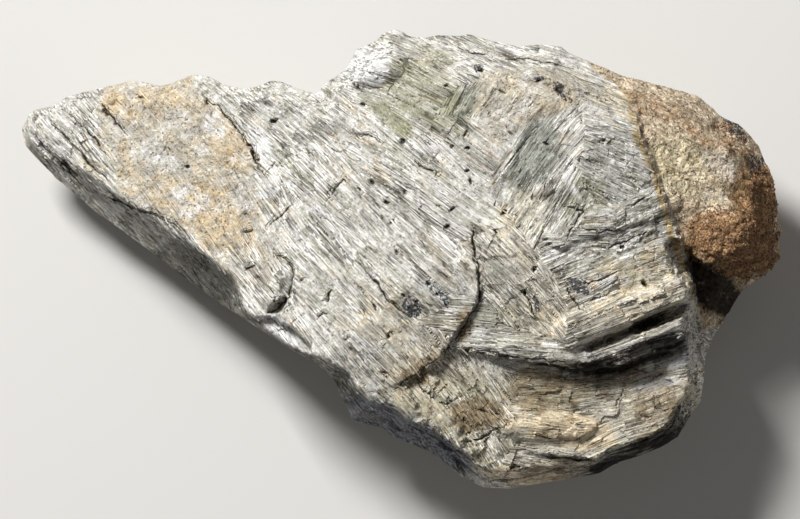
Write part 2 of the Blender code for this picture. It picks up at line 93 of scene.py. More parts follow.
lump = {
    "name": "crystalMass",
    "blankThickness": 20.0,
    "blankVoxel": 0.6,
    "voxel": 0.32,
    "planSize": (152.4, 91.5),
    "triangles": 196000,
    "lowFacing": 0.2,  # flatter than this, or below the height, a face counts as a low one
    "lowHeight": 10.0,
    "keepLow": 0.14,  # share of their triangles that low faces keep
    "crease": 34.0,  # degrees beyond which an edge is sharp
    "wallWidth": 7.0,  # distance in from the rim over which a wall steepens
    "wallBlend": 1.5,
    "levelling": 1.2,  # how far the rim's values blend into each other
    "ledgeCurve": 1.5,
    "ledgeEnd": 2.0,  # how fast a ledge dies out beyond its ends
    "bundleCurve": 4,
    "lumpCurve": 0.8,
    # rim stretches: rise of the wall above, fall of the wall below, painted shade of the wall, then x, y and
    # height
    "rim": [
        ("wing tip", 1.9, 1, 0.1, [
            (-76.2, 26.2, 17), (-74.8, 29.2, 18), (-73, 30.2, 19), (-69.4, 30.9, 21),
        ]),
        ("wing back edge", 1.2, 2.4, 0.1, [
            (-66.8, 32.6, 22), (-63.8, 33.6, 23), (-59.8, 34.5, 24), (-53.7, 35.9, 26), (-48, 34.8, 28),
            (-45.3, 35.5, 28), (-41.5, 37.1, 29), (-38.6, 36.7, 30), (-34.6, 34.7, 32), (-30.8, 34.2, 33),
            (-28.6, 34.6, 33), (-26, 35.8, 33), (-23.6, 35.5, 34), (-21, 34.3, 35), (-16.3, 32.9, 37),
        ]),
        ("pale knob", 1.6, 2.6, 0, [
            (-15.8, 34.7, 37), (-11.2, 37.8, 38), (-9.9, 40.3, 38), (-8.7, 42.3, 38), (-6.8, 42.7, 38),
            (-4.8, 43.9, 37), (-4, 44.9, 37), (-1.3, 45.9, 36), (0.4, 45.4, 36), (1.1, 44.6, 36),
        ]),
        ("body back edge", 1.3, 2.2, 0.1, [
            (4.4, 44.2, 35), (7.6, 44.8, 34), (11.4, 44.6, 34), (13.2, 45, 34), (18.6, 43.5, 34),
            (23.4, 42.6, 33), (28, 43, 32), (31.8, 42.6, 32), (33.2, 41.3, 32), (39.6, 38.7, 32),
            (43.8, 36.8, 31),
        ]),
        ("weathered shoulder", 1.5, 2, 0.15, [
            (53, 34.5, 28), (59.2, 32.7, 26), (62.2, 30.2, 26), (63.8, 28.7, 25), (67.4, 27.2, 24),
            (71.4, 22.9, 23), (72.4, 20.1, 23), (74.2, 16.4, 22), (75.4, 8, 22), (76.2, 5.8, 22),
            (75.2, 4.2, 21), (75.7, 0.3, 20), (74.2, -1.6, 19),
        ]),
        ("lip under the shoulder", 1, 1.6, 0.3, [
            (71.4, -4, 17), (68.3, -6.1, 16), (65.2, -11, 16), (63.1, -14.8, 18),
        ]),
        ("right end", 2, 1.8, 0, [
            (60.7, -18.9, 26), (60.4, -22, 28), (59.7, -28.2, 28), (58, -30.2, 27),
        ]),
        ("foot right", 2.6, 1.4, 1, [
            (56.8, -32.8, 25), (55.2, -35.4, 25), (51.8, -37.5, 25), (47.6, -39.2, 26), (42.8, -40.6, 26),
            (39.4, -42.7, 26),
        ]),
        ("foot", 2.4, 1.8, 0, [
            (31.8, -44, 26), (25.6, -44.9, 27), (21.8, -45.6, 27), (16.4, -45.4, 27), (13.2, -44, 26),
        ]),
        ("dark side", 2.8, 1.4, 1, [
            (9.4, -40.9, 25), (4.2, -37.7, 24), (-2, -35.4, 24), (-3.3, -33.7, 24), (-7.8, -32.7, 24),
            (-9.9, -32, 24), (-10.7, -29.9, 24), (-12.4, -27.2, 30), (-13, -24.4, 33),
        ]),
        ("below the chip", 6, 1.4, 0.6, [
            (-16.4, -21, 35), (-22, -17.8, 36), (-30.6, -12.2, 31),
        ]),
        ("wing front edge", 1.8, 1.2, 1, [
            (-35.8, -9.3, 18), (-44, -3.3, 15),
        ]),
        ("wing tip front edge", 1.8, 1.2, 0.4, [
            (-52, 2.9, 14), (-61.1, 9.5, 14), (-69, 16.2, 15), (-73, 20.2, 17), (-75.2, 22.8, 17),
        ]),
    ],
    # a point on each face, and its slope towards +X and +Y
    "upperFaces": [
        ((-62, 26, 27), (0.34, -0.06)),  # wing face
        ((13, 6, 51.5), (0.03, -0.09)),  # body face
        ((0, -20, 46.5), (0.06, 0.26)),  # front face
        ((22, -30, 41.9), (-0.1, 0.36)),  # foot face
        ((25, 36, 47), (-0.05, -0.85)),  # back bevel
        ((45, 0, 49.5), (-0.13, 0.05)),  # blade face
        ((50, 17, 45.5), (-0.42, -0.06)),  # shoulder top
        ((68, 12, 37), (-0.95, -0.05)),  # shoulder side
        ((60, 25, 39), (-0.55, -0.9)),  # shoulder back
    ],
    "underFaces": [
        ((0, 0, -3), (0, 0)),  # the resting face, before it is sliced level
        ((-30, 0, -3), (-0.34, 0.05)),
        ((0, 18, -3), (0.05, 1.1)),
        ((44, 16, -3), (0.42, 0.62)),
        ((49, 0, -3), (0.6, -0.08)),
        ((0, -27, -3), (0.1, -0.95)),
        ((-28, -8, -3), (-0.35, -0.65)),
    ],
    # flat cuts: an outline, then the cut's point and slope
    "cuts": [
        # white chip
        ([(-33, -11.4), (-25.4, -11.4), (-22.4, -13), (-18, -17.4), (-17, -23), (-36, -15)],
         ((-25, -14, 38.4), (0.1, -0.1))),
        # step below the shoulder
        ([(57.2, 2.5), (59.6, -1), (63.6, -3), (68.6, -3.4), (74.2, -1.6), (80, -3), (75, -14), (66, -20),
          (62, -16.5), (60.2, -12), (58.8, -8), (57.4, -3)], ((64, -9, 22), (-0.35, 0.25))),
        # front notch
        ([(15.5, -31), (19.5, -34.5), (16.5, -37), (12, -37.5), (11.5, -33.5)],
         ((15, -34, 40.3), (-0.1, 0.36))),
        # end block
        ([(50, -19.5), (60.5, -16), (64, -24), (58, -24.5), (49.5, -23.5)], ((55, -20, 38), (-0.2, 0.1))),
    ],
    # scarps: drop to the right of the line at its start and end, reach over which it climbs back, line
    "ledges": [
        (1.5, 7, 12, [(8.5, -17.2), (14.6, -18.6), (20.2, -19.4), (26.6, -20.4), (34.8, -21.6), (42.2, -21),
                      (49.6, -18.6), (58.4, -15.4)]),
        (2.6, 1.3, 8, [(0.6, -24), (3.6, -22.6), (6.8, -20), (9.6, -16), (12.6, -11.6), (15, -8),
                       (15.8, -4.6), (15.2, 0)]),
        (3.6, 1.4, 14, [(58.6, -10), (58, -5), (56, 2), (53.4, 9), (50.6, 17), (48, 23), (46.6, 29),
                        (41, 35), (34, 39.5)]),
        (1.2, 1.6, 12, [(-26.8, 16.4), (-29.2, 20.4), (-31, 23.6), (-33.4, 26), (-36, 27.6), (-38.4, 30),
                        (-39.8, 33.4)]),
        (0.8, 2.8, 8, [(26, -38.6), (30, -39.2), (35, -39.9), (40, -39.6)]),
    ],
    # proud bundles, or grooves where the rise is negative: from, to, half width, rise
    "bundles": [
        ((33, -14.4), (56.4, -5.4), 3, 2.6),  # upper log
        ((37, -17.2), (47, -13.1), 0.8, -3),  # groove under it
        ((46.4, -13.3), (57.4, -8.8), 1.3, -6),
        ((37, -19.6), (57, -11.8), 1.1, 0.9),  # lower log
        ((20, -17.6), (36, -19), 1.8, 0.9),  # ledge lip
        ((21.8, 13.6), (29.2, 27), 3.2, -0.9),  # cross blade
        ((31, 5), (53, 12), 2.6, 1.3),
        ((33, -5.5), (54, 1.5), 2.4, 0.3),
        ((4, 30), (27, 15), 2.6, 1),
        ((8, 41.5), (42, 34), 2.2, 1.4),
        ((-6, -14), (12, -37), 3, 1.2),
        ((-74, 27), (-52, 10), 2.4, 1),
    ],
    # rounded lumps and hollows: centre, radii, turn in degrees, height
    "lumps": [
        ((-5, 39.8), (6.5, 5.5), 20, 3.2),  # pale knob
        ((67, 5), (8.5, 7), -15, 4.2),  # shoulder bulge
        ((56.6, -1.5), (7, 2.6), -58, -7),  # shoulder hollow
        ((-22.4, -6.6), (1.5, 3.4), 20, -2.6),  # corner notch
        ((-24.4, -9.2), (2.4, 1.2), 30, -3.4),  # corner pit
        ((1, -8), (1.8, 0.9), -50, -0.9),  # dark pits
        ((3.2, -10.6), (1.6, 0.9), -62, -0.9),
        ((27, -32.5), (12, 3.6), -5, 1.8),  # cream swell
        ((55, -20.5), (4.6, 2.6), 15, 1.8),  # end block
    ],
}


def rimTable(spec):
    # one row for each rim point: x, y, height, rise, fall, painted wall shade
    rows = [(*point, up, down, stain) for _, up, down, stain, points in spec["rim"] for point in points]
    table = np.array(rows, float)
    table[:, :2] *= np.array(spec["planSize"]) / np.ptp(table[:, :2], axis=0)
    return table


def batches(indices, size):
    # in parts of about the given size, so that the tables made for each stay small
    return np.array_split(indices, max(1, len(indices) // size))


def toLine(x, y, points):
    # distance, share along and side of each place, for each segment of a line
    start, run = points[:-1], points[1:] - points[:-1]
    px, py = x[:, None] - start[:, 0], y[:, None] - start[:, 1]
    share = np.clip((px * run[:, 0] + py * run[:, 1]) / (run**2).sum(1), 0, 1)
    distance = np.hypot(px - share * run[:, 0], py - share * run[:, 1])
    return distance, share, np.sign(run[:, 1] * px - run[:, 0] * py)


def rimAt(x, y, rim, levelling):
    # distance in from the rim, then its height, rise, fall and painted wall shade nearby
    loop = np.vstack([rim, rim[:1]])
    found = []
    for part in batches(np.arange(len(x)), 20000):
        distance, share, _ = toLine(x[part], y[part], loop[:, :2])
        nearest = distance.min(1)
        weight = np.exp(-(distance - nearest[:, None]) / levelling)
        weight /= weight.sum(1)[:, None]
        values = [((loop[:-1, k] * (1 - share) + loop[1:, k] * share) * weight).sum(1) for k in (2, 3, 4, 5)]
        found.append(np.array([nearest, *values]))
    return np.hstack(found)


def faceHeight(x, y, face):
    (px, py, pz), (towardX, towardY) = face
    return pz + towardX * (x - px) + towardY * (y - py)


def ledgeDrop(x, y, ledge, spec):
    startDrop, endDrop, reach, points = ledge
    distance, share, side = toLine(x, y, np.array(points, float))
    nearest, rows = distance.argmin(1), np.arange(len(x))
    offEnd = (nearest == 0) & (share[rows, 0] <= 0) | (nearest == len(points) - 2) & (share[rows, -1] >= 1)
    away = distance[rows, nearest]
    drop = startDrop + (endDrop - startDrop) * (nearest + share[rows, nearest]) / (len(points) - 1)
    fall = drop * np.exp(-((away / reach) ** spec["ledgeCurve"]))
    fall *= np.where(offEnd, np.exp(-away / spec["ledgeEnd"]), 1)
    return np.where(side[rows, nearest] > 0, -fall, 0)


def bundleRise(x, y, bundle, curve):
    start, end, halfWidth, rise = bundle
    distance, _, _ = toLine(x, y, np.array([start, end], float))
    return rise * np.sqrt(np.clip(1 - (distance[:, 0] / halfWidth) ** curve, 0, None))


def ovalShare(x, y, centre, radii, turn):
    # 1 at the centre of a turned oval, 0 on its outline, below 0 outside
    c, s = math.cos(math.radians(turn)), math.sin(math.radians(turn))
    u = ((x - centre[0]) * c + (y - centre[1]) * s) / radii[0]
    v = ((y - centre[1]) * c - (x - centre[0]) * s) / radii[1]
    return 1 - u * u - v * v


def inOutline(x, y, outline):
    odd = np.zeros(len(x), bool)
    points = np.array(outline, float)
    for (ax, ay), (bx, by) in zip(points, np.roll(points, -1, axis=0)):
        if ay != by:
            odd ^= ((ay > y) != (by > y)) & (x < (bx - ax) * (y - ay) / (by - ay) + ax)
    return odd


def bigShape(x, y, spec, rim):
    # heights of the upper side and the underside, the painted shade of the wall, and the height of the rim
    # nearby
    inward, height, rise, fall, stain = rimAt(x, y, rim, spec["levelling"])
    reach = inward * (1 + (inward / spec["wallWidth"]) ** 2)
    top = np.minimum.reduce([faceHeight(x, y, face) for face in spec["upperFaces"]])
    top = top + sum(ledgeDrop(x, y, ledge, spec) for ledge in spec["ledges"])
    top = top + sum(bundleRise(x, y, bundle, spec["bundleCurve"]) for bundle in spec["bundles"])
    for centre, radii, turn, rounding in spec["lumps"]:
        top = top + rounding * np.clip(ovalShare(x, y, centre, radii, turn), 0, None) ** spec["lumpCurve"]
    wall = height + rise * reach
    onWall = np.clip((top - wall) / spec["wallBlend"], 0, 1)
    top = np.minimum(wall, top)
    for outline, face in spec["cuts"]:
        top = np.where(inOutline(x, y, outline), np.minimum(top, faceHeight(x, y, face)), top)
    bottom = np.maximum.reduce([faceHeight(x, y, face) for face in spec["underFaces"]])
    bottom = np.maximum(height - fall * reach, bottom)
    return top, bottom, onWall * stain, height


def threes(items, field):
    # a field of three values for each vertex or polygon, such as its place or its normal
    flat = np.empty(len(items) * 3)
    items.foreach_get(field, flat)
    return flat.reshape(-1, 3)


def coordinates(mesh):
    return threes(mesh.vertices, "co")


def moveTo(mesh, places):
    mesh.vertices.foreach_set("co", places.ravel())
    mesh.update()


def newObject(name, data):
    made = bpy.data.objects.new(name, data)
    bpy.context.scene.collection.objects.link(made)
    return made


def withModifier(obj, kind, **settings):
    # puts the modifier's result in place of the object's mesh
    modifier = obj.modifiers.new(kind.title(), kind)
    for name, value in settings.items():
        setattr(modifier, name, value)
    graph = bpy.context.evaluated_depsgraph_get()
    mesh = bpy.data.meshes.new_from_object(obj.evaluated_get(graph))
    obj.modifiers.clear()
    old, obj.data = obj.data, mesh
    bpy.data.meshes.remove(old)


def lumpBody(spec, rim):
    # a slab cut to the rim, with its top and bottom moved to the two sides' heights
    curve = bpy.data.curves.new("rim", "CURVE")
    curve.dimensions = "2D"
    curve.fill_mode = "BOTH"
    curve.extrude = spec["blankThickness"] / 2
    line = curve.splines.new("POLY")
    line.points.add(len(rim) - 1)
    for point, row in zip(line.points, rim):
        point.co = (row[0], row[1], 0, 1)
    line.use_cyclic_u = True
    outline = newObject("rim", curve)
    mesh = bpy.data.meshes.new_from_object(outline.evaluated_get(bpy.context.evaluated_depsgraph_get()))
    bpy.data.objects.remove(outline)
    body = newObject(spec["name"], mesh)
    withModifier(body, "REMESH", mode="VOXEL", voxel_size=spec["blankVoxel"])
    places = coordinates(body.data)
    share = np.clip(places[:, 2] / spec["blankThickness"] + 0.5, 0, 1)
    top, bottom, _, _ = bigShape(places[:, 0], places[:, 1], spec, rim)
    places[:, 2] = bottom + (np.maximum(top, bottom) - bottom) * share
    moveTo(body.data, places)
    withModifier(body, "REMESH", mode="VOXEL", voxel_size=spec["voxel"])
    return body


# the blades: which way they run, and how each size of blade steps and slants

blades = {
    # x, y, turn in degrees, relief
    "runs": [
        (-70, 26, -46, 1.5), (-62, 20, -47, 1.4), (-47, 18, -50, 0.31), (-38, 31, -42, 0.31),
        (-36, 2, -54, 0.5), (-28, 8, -55, 0.37), (-28, 26, -41, 0.43), (-18, 28, -36, 0.37),
        (-14, 16, -41, 0.37), (-15, 2, -47, 0.43), (-4, 22, -36, 0.37), (-6, 8, -40, 0.37),
        (-6, -8, -45, 0.37), (2, -1, -42, 0.37), (-2, -24, -50, 0.56), (-12, -16, -48, 0.56),
        (8, -28, -56, 0.85), (16, -38, -58, 1.1), (6, 34, -30, 0.37), (14, 38, -27, 0.5),
        (26, 40, -22, 0.56), (40, 35, -22, 0.8), (10, 14, -39, 0.43), (16, 24, -33, 0.43),
        (26, 19, 53, 0.56), (31, 26, 50, 0.5), (15, 30, 57, 0.31), (34, 11, 56, 1.02), (38, 26, -18, 0.7),
        (40.5, 17, -26, 0.8), (38, 5, 4, 0.94), (49, 7, 24, 0.94), (36, -3, 25, 0.94), (48, -3, 18, 0.94),
        (41, -12, 21, 0.94), (52, -8, 20, 0.94), (18, -4, -47, 0.56), (26, -10, -52, 0.85),
        (15, -15, -9, 0.56), (24, -17, -8, 0.56), (12, -22, -54, 0.85), (18, -25, -52, 0.85),
        (30, -25, 3, 0.85), (40, -27, 7, 0.94), (30, -34, -4, 0.9), (13, -33, -56, 1.1), (24, -42, -8, 1),
        (44, -36, 18, 1.2), (52, -27, 22, 1.1), (56, -21, 12, 1.1), (-6, 40, -20, 0.56), (56, 26, -24, 0.6),
        (62, 14, -22, 0.5), (70, 14, -40, 0.5), (66, 2, -30, 0.5), (65, -9, -35, 0.9),
    ],
    "wander": (7, 2.6),  # size and reach of the unevenness where two runs meet
    "bundle": {"width": 5, "length": 26, "thickness": 6, "sway": 0.9,
               "rise": 0.5, "slant": 0.55, "dip": 0.45, "skew": 0.1},
    "blade": {"width": 1.9, "length": 12, "thickness": 3, "sway": 0.45,
              "rise": 0.3, "slant": 0.26, "dip": 0.24, "skew": 0.1},
    "needle": {"width": 0.75, "length": 6, "thickness": 1.6, "sway": 0.15,
               "rise": 0.16, "slant": 0.1, "dip": 0.1, "skew": 0.12},
    "climb": 0.1,  # how far blades point up as they run along
    "swayDepth": 9.0,
    "fineSway": 0.4,  # share of the sway that is fine
    "stagger": (3.1, 7.7),  # how far the layers and the ends of neighbouring blades are out of step
    "jitter": 0.44,  # how uneven the borders between blades are
    "splay": 5.0,  # degrees by which bundles differ in turn
    "raggedSize": 1.2,
    "broken": (3.0, 2, 0.6),  # size of the places where joints are open, and how much of them there is
    "spread": 40.0,  # how far apart neighbouring bundles lie in the blades' pattern
    "calmEdge": 2.0,  # the relief sinks this near the rim, down to the least share
    "calmLeast": 0.35,
    "underCalm": 0.55,
    "underShare": 0.7,  # how much of the joints the underside loses, and the granular parts with it
    "tones": (0.65, 0.35),  # how much a blade and a needle say in the tone
    # weathered parts: how much of the blades they hide, their granules and their swells
    "hidden": {"crust": 0.75, "grains": 0.85},
    "granules": [(1.8, 0.5, 51), (0.8, 0.35, 52)],
    "granuleBase": 0.3,
    "granuleRise": {"grains": 1.1, "crust": 0.5},
    "swells": [(4, 0.35, 53), (1.7, 0.25, 54)],
    "deepest": -2.0,
    "gap": {"share": 0.84, "depth": 0.5, "halfWidth": 0.2, "ragged": 0.6},  # open joints between bundles
    "snap": {"share": 0.93, "depth": 0.4, "halfWidth": 0.2, "ragged": 0.6},  # open ends of blades
    "gloom": (1.1, -0.1),  # how dark the painted shade in an open joint is, and the granule height below which shade is painted
}


def nearestRun(places, spec):
    # the turn and relief of the run that each place belongs to
    runs = np.array(spec["runs"], float)
    size, reach = spec["wander"]
    x, y = places[:, 0], places[:, 1]
    x = x + softNoise(places, size, 11) * reach + softNoise(places, size / 4, 12) * reach / 3
    y = y + softNoise(places, size, 13) * reach + softNoise(places, size / 4, 14) * reach / 3
    found = np.empty(len(places), int)
    for part in batches(np.arange(len(x)), 50000):
        distance = (x[part, None] - runs[:, 0]) ** 2 + (y[part, None] - runs[:, 1]) ** 2
        found[part] = distance.argmin(1)
    return runs[found, 2], runs[found, 3], found


def unit(vectors):
    return vectors / np.linalg.norm(vectors, axis=1)[:, None]


def bladeAxes(turn):
    angle = np.radians(turn)
    along = unit(np.stack([np.cos(angle), np.sin(angle), np.full(len(angle), blades["climb"])], 1))
    across = np.stack([-np.sin(angle), np.cos(angle), np.zeros(len(angle))], 1)
    return along, across, np.cross(along, across)


def bladeCoordinates(places, turn):
    return np.stack([(places * axis).sum(1) for axis in bladeAxes(turn)], 1)


def bladeSteps(local, spec, kind, keys, seed):
    # each blade's step and slant, its own random value, how far its borders are, and which blade it is
    size = spec[kind]
    along, across, through = local.T
    broad = [size["length"], size["width"] * 3, spec["swayDepth"]]
    fine = [size["length"] / 3, size["width"], spec["swayDepth"]]
    sway = size["sway"] * softNoise(local / broad, 1.0, seed)
    sway += size["sway"] * spec["fineSway"] * softNoise(local / fine, 1.0, seed + 9)
    lane, side, edge = unevenCells((across + sway) / size["width"], keys, seed + 1, spec["jitter"])
    layers, ends = spec["stagger"]
    layer = np.floor(through / size["thickness"] + layers * hashOf(lane, *keys, seed=seed + 2))
    lean = (hashOf(lane, layer, seed=seed + 11) - 0.5) * 2 * size["skew"]
    shifted = along / size["length"] + ends * hashOf(lane, layer, seed=seed + 3) + side * lean
    piece, reach, end = unevenCells(shifted, (lane, layer), seed + 4, spec["jitter"])
    own = [hashOf(lane, layer, piece, seed=seed + k) for k in (5, 6, 7, 8)]
    step = (own[0] - 0.5) * size["rise"]
    step += (side - 0.5) * (own[1] - 0.5) * 2 * size["slant"]
    step += (reach - 0.5) * (own[2] - 0.5) * 2 * size["dip"]
    return step, own[3], edge * size["width"], end * size["length"], (lane, layer, piece)


def openJoint(away, chosen, spec, ragged):
    # depth of a joint that gapes where its blade's random value is above the share
    halfWidth = spec["halfWidth"] * (1 + spec["ragged"] * ragged)
    return spec["depth"] * np.exp(-((away / halfWidth) ** 2)) * (chosen > spec["share"])


def cellBumps(places, size, seed):
    # rounded granules: 1 at the middle of each, 0 between them
    scaled = places / size
    base = np.floor(scaled)
    nearest = np.full(len(places), np.inf)
    for step in np.ndindex(3, 3, 3):
        cell = base + step - 1
        point = cell + np.stack([hashOf(*cell.T, seed=seed + k) for k in range(3)], 1)
        nearest = np.minimum(nearest, ((scaled - point) ** 2).sum(1))
    return np.clip(1 - nearest * 1.3, 0, 1)


# cracks and pits of the upper side

breaks = {
    # depth, half width at the widest, then the line; the first is the crevice
    "cracks": [
        (1.4, 0.34, [(13.8, 7), (14.2, 3.4), (14.8, 0.2), (15.2, -3.4), (15.8, -7), (14.6, -9.6)]),
        (0.6, 0.17, [(15.4, -8), (13.6, -10.8), (11.8, -13.6), (9.8, -16.4), (8.4, -19)]),
        (0.5, 0.16, [(6.4, -20.2), (3.2, -22.2), (0.4, -23.8), (-1.6, -26)]),
        (1.2, 0.33, [(-7.8, -1), (-5, -4.6), (-2.8, -8), (-0.4, -9.8), (1.4, -11.2)]),
        (0.8, 0.18, [(7.6, -16.8), (14, -18), (20, -19), (27, -19.6), (35, -20.8)]),
        (1.2, 0.23, [(-40, 33), (-36.6, 30.4), (-33.8, 27.6), (-31.6, 25), (-29.8, 22.4), (-28.8, 19.6),
                     (-27.6, 17.6)]),
        (1.4, 0.39, [(-10.4, 36), (-9, 34.4), (-8, 33.4)]),
        (1.6, 0.43, [(-21.6, -4.6), (-22.6, -7.4), (-24.6, -9.6), (-26.6, -10.4)]),
        (1, 0.31, [(-24.8, 1), (-23, 0.2), (-21.6, -2), (-21.4, -5)]),
        (1.1, 0.23, [(-16, -8.4), (-14.6, -8.2), (-14.2, -6.4), (-13.6, -5.8)]),
        (1.1, 0.23, [(-16.6, -11.6), (-15.4, -10.8), (-14.6, -10.6)]),
        (0.8, 0.25, [(-11.4, -16), (-10.6, -15.4), (-9.8, -15.6)]),
        (0.9, 0.25, [(-5.8, -8), (-5.4, -9.2), (-5.4, -10.2)]),
        (0.9, 0.23, [(-4.8, -22.6), (-3.6, -22.6), (-2.6, -23.6)]),
        (0.8, 0.2, [(-26.4, 6.4), (-24.4, 8.6), (-23.4, 9.6), (-21.6, 11.4)]),
        (0.7, 0.22, [(-15, 11.4), (-14, 12.8), (-12.8, 14.6), (-11.6, 16), (-10.4, 15.2)]),
        (0.9, 0.23, [(-31.8, 5.4), (-30.4, 5.8), (-29.4, 6.4)]),
        (0.9, 0.28, [(-31.2, -2.2), (-30, -1.6), (-28.8, -1)]),
        (0.8, 0.2, [(-10.2, 25.4), (-8, 24.6), (-6.4, 24.8), (-4, 23.2)]),
        (0.9, 0.26, [(2, 19.6), (4, 18.2), (5.6, 18), (7.2, 17.6), (6, 16.4)]),
        (0.9, 0.24, [(13, 25.8), (12.4, 24.8), (12.2, 24)]),
        (1, 0.27, [(11, 42.4), (14, 41.2), (17.8, 40.4)]),
        (0.8, 0.22, [(20, 39.6), (25, 39.8), (30, 39), (34, 38)]),
        (0.8, 0.26, [(19, 33.8), (20.6, 33)]),
        (0.9, 0.22, [(50, 13.6), (47.4, 12), (45.2, 10.4)]),
        (0.8, 0.22, [(24.2, -6), (25.6, -9), (26.4, -11.6)]),
        (0.8, 0.22, [(32.2, -5), (34, -8), (36.4, -10.6)]),
        (0.8, 0.24, [(31.2, 11), (35.6, 9.6), (32, 3.4)]),
        (0.8, 0.2, [(35, 6.6), (39, 5.6), (43.6, 6)]),
        (0.8, 0.2, [(36.6, 3), (41, 2.4), (45, 4), (50, 5.8)]),
        (0.7, 0.2, [(34.6, -3.4), (37, -4.6), (40, -3.6), (44, -1.6)]),
        (0.7, 0.16, [(14.2, -29.8), (16.6, -30.2), (19.6, -30.6), (20.4, -32)]),
        (0.8, 0.2, [(19.4, -33), (17, -34.8), (13.6, -36.2), (10.8, -36)]),
        (0.6, 0.16, [(7.2, -28), (9.4, -28.4), (11.8, -27.2)]),
        (0.6, 0.16, [(3.2, -24.2), (5.2, -26.6), (7.4, -27.8)]),
        (0.7, 0.16, [(20, -43.6), (22, -41.4), (24.4, -40.6)]),
        (1, 0.31, [(27.6, -39), (32, -39.4), (38, -40)]),
        (0.6, 0.16, [(26, -34.8), (28, -35.2), (29.6, -35.6)]),
        (0.6, 0.15, [(44.6, -24), (43.4, -27), (42, -30)]),
        (0.6, 0.16, [(50, -26), (50.6, -29), (52.6, -30.4)]),
        (0.9, 0.26, [(-60.4, 13.4), (-54, 10.6), (-47.6, 8.4), (-43, 5.4)]),
        (0.9, 0.23, [(-60, 31.4), (-58.6, 29.4), (-57, 27.4), (-54.6, 24.6)]),
        (0.8, 0.24, [(-74, 25.6), (-68, 19.4), (-62, 13.4)]),
        (0.9, 0.28, [(-71, 28.6), (-66, 23.6), (-60.6, 17.6), (-58, 15)]),
        (0.8, 0.24, [(-66.4, 29.6), (-62, 25), (-58.2, 20.6)]),
    ],
    # x, y, length, width, turn in degrees, depth
    "pits": [
        (-5.8, 15.4, 1.5, 0.8, -45, 1), (-3, 11.4, 1.1, 0.6, -20, 0.9), (-8.4, 14, 1.2, 0.5, -45, 0.8),
        (0.6, 13.4, 1.2, 0.6, -45, 0.8), (9, 6.6, 1.3, 0.8, 20, 1), (10, 10, 1.5, 0.6, 35, 0.9),
        (13.6, 15.6, 1.7, 0.6, -75, 1), (13, 17.6, 0.8, 0.5, 0, 0.8), (-3.8, 8.4, 0.8, 0.4, -45, 0.7),
        (-2, 7.4, 1.1, 0.3, 45, 0.7), (-2.2, -14.8, 1.8, 1, 35, 1.4), (-1, 1.4, 0.8, 0.5, -50, 0.7),
        (20.2, 9.4, 1.5, 0.7, 50, 1), (18.6, 5.6, 1.2, 0.6, -40, 0.9), (26.2, -1.8, 1.5, 0.8, 60, 1.1),
        (43.6, 2.6, 1.3, 0.7, 15, 0.9), (48, -4.6, 1.4, 0.9, -55, 1.3), (24.2, -6.6, 1.6, 0.8, -60, 1),
        (-25.4, 27.6, 1.9, 0.9, 20, 1), (-38.6, 31.4, 0.9, 0.6, -45, 0.8), (-29, 20.6, 2.6, 0.8, -62, 1.6),
        (-58.8, 29.2, 1.8, 0.6, -52, 1.1), (0.2, 23.4, 0.9, 1, 0, 1), (10, 22.4, 0.6, 0.6, 0, 0.9),
        (13, 22, 0.8, 1, 10, 1), (8.8, 34.4, 1, 0.5, 40, 0.7), (15.2, 37.8, 1.8, 1.1, -60, 0.9),
        (31, 33.4, 1.5, 0.6, -40, 0.7), (32.6, 31.8, 1.2, 0.5, -70, 0.7), (27, 35.4, 1.2, 0.4, 20, 0.7),
        (21.6, 25, 1, 0.5, -40, 0.7), (40, 23.6, 1, 0.6, -10, 0.8), (35, 19.6, 0.8, 0.5, 80, 0.9),
        (28.6, 23, 1.4, 0.5, -30, 0.7), (0.4, -7, 1.2, 0.4, -50, 0.5), (1.6, -9.6, 1.3, 0.5, -60, 0.6),
        (3, -8.2, 0.8, 0.5, 10, 0.5), (3.2, -11.2, 1, 0.4, -70, 0.5), (5.2, -4.6, 1.2, 0.4, -45, 0.5),
        (7, -6.8, 1.4, 0.5, -50, 0.6), (8.8, -9, 1.2, 0.4, -50, 0.5), (-7.8, 30.8, 0.9, 0.5, -20, 0.8),
        (-46.2, 22, 0.9, 0.4, -75, 0.7), (-42.6, 18.6, 1.1, 0.5, 0, 0.7), (-31, 9.2, 0.8, 0.4, 0, 0.7),
        (-19.8, -4, 1, 0.5, 30, 0.8), (13.4, -34.4, 1.4, 0.6, 20, 0.5), (-52, 32.4, 1, 0.5, 0, 0.7),
        (40.6, -15, 2, 0.4, 20, 0.8), (12.4, -31.6, 1, 0.5, -50, 0.7),
    ],
    "floor": 15.0,  # nothing below this height is cracked or pitted
    "reach": 4.0,  # how many half widths from a crack its nearness is stored
    "crackRagged": [(1.4, 0.38, 31), (0.5, 0.2, 32)],
    "crackMargin": 3,  # how far from a crack's line it is looked for
    "crackEnds": (0.02, 0.98),  # keeps a crack from closing at its ends
    "crackTaper": 0.6,
    "pitRagged": [(0.8, 0.4, 35), (0.35, 0.3, 36)],
    "pitMargin": (0.12, 0.1),  # added to half the length and half the width
    "pitSlope": 1.6,
}


def nearLine(x, y, points):
    # signed distance to a line, and the share along it of the nearest point
    distance, share, side = toLine(x, y, points)
    nearest, rows = distance.argmin(1), np.arange(len(x))
    along = (nearest + share[rows, nearest]) / (len(points) - 1)
    return distance[rows, nearest] * side[rows, nearest], along


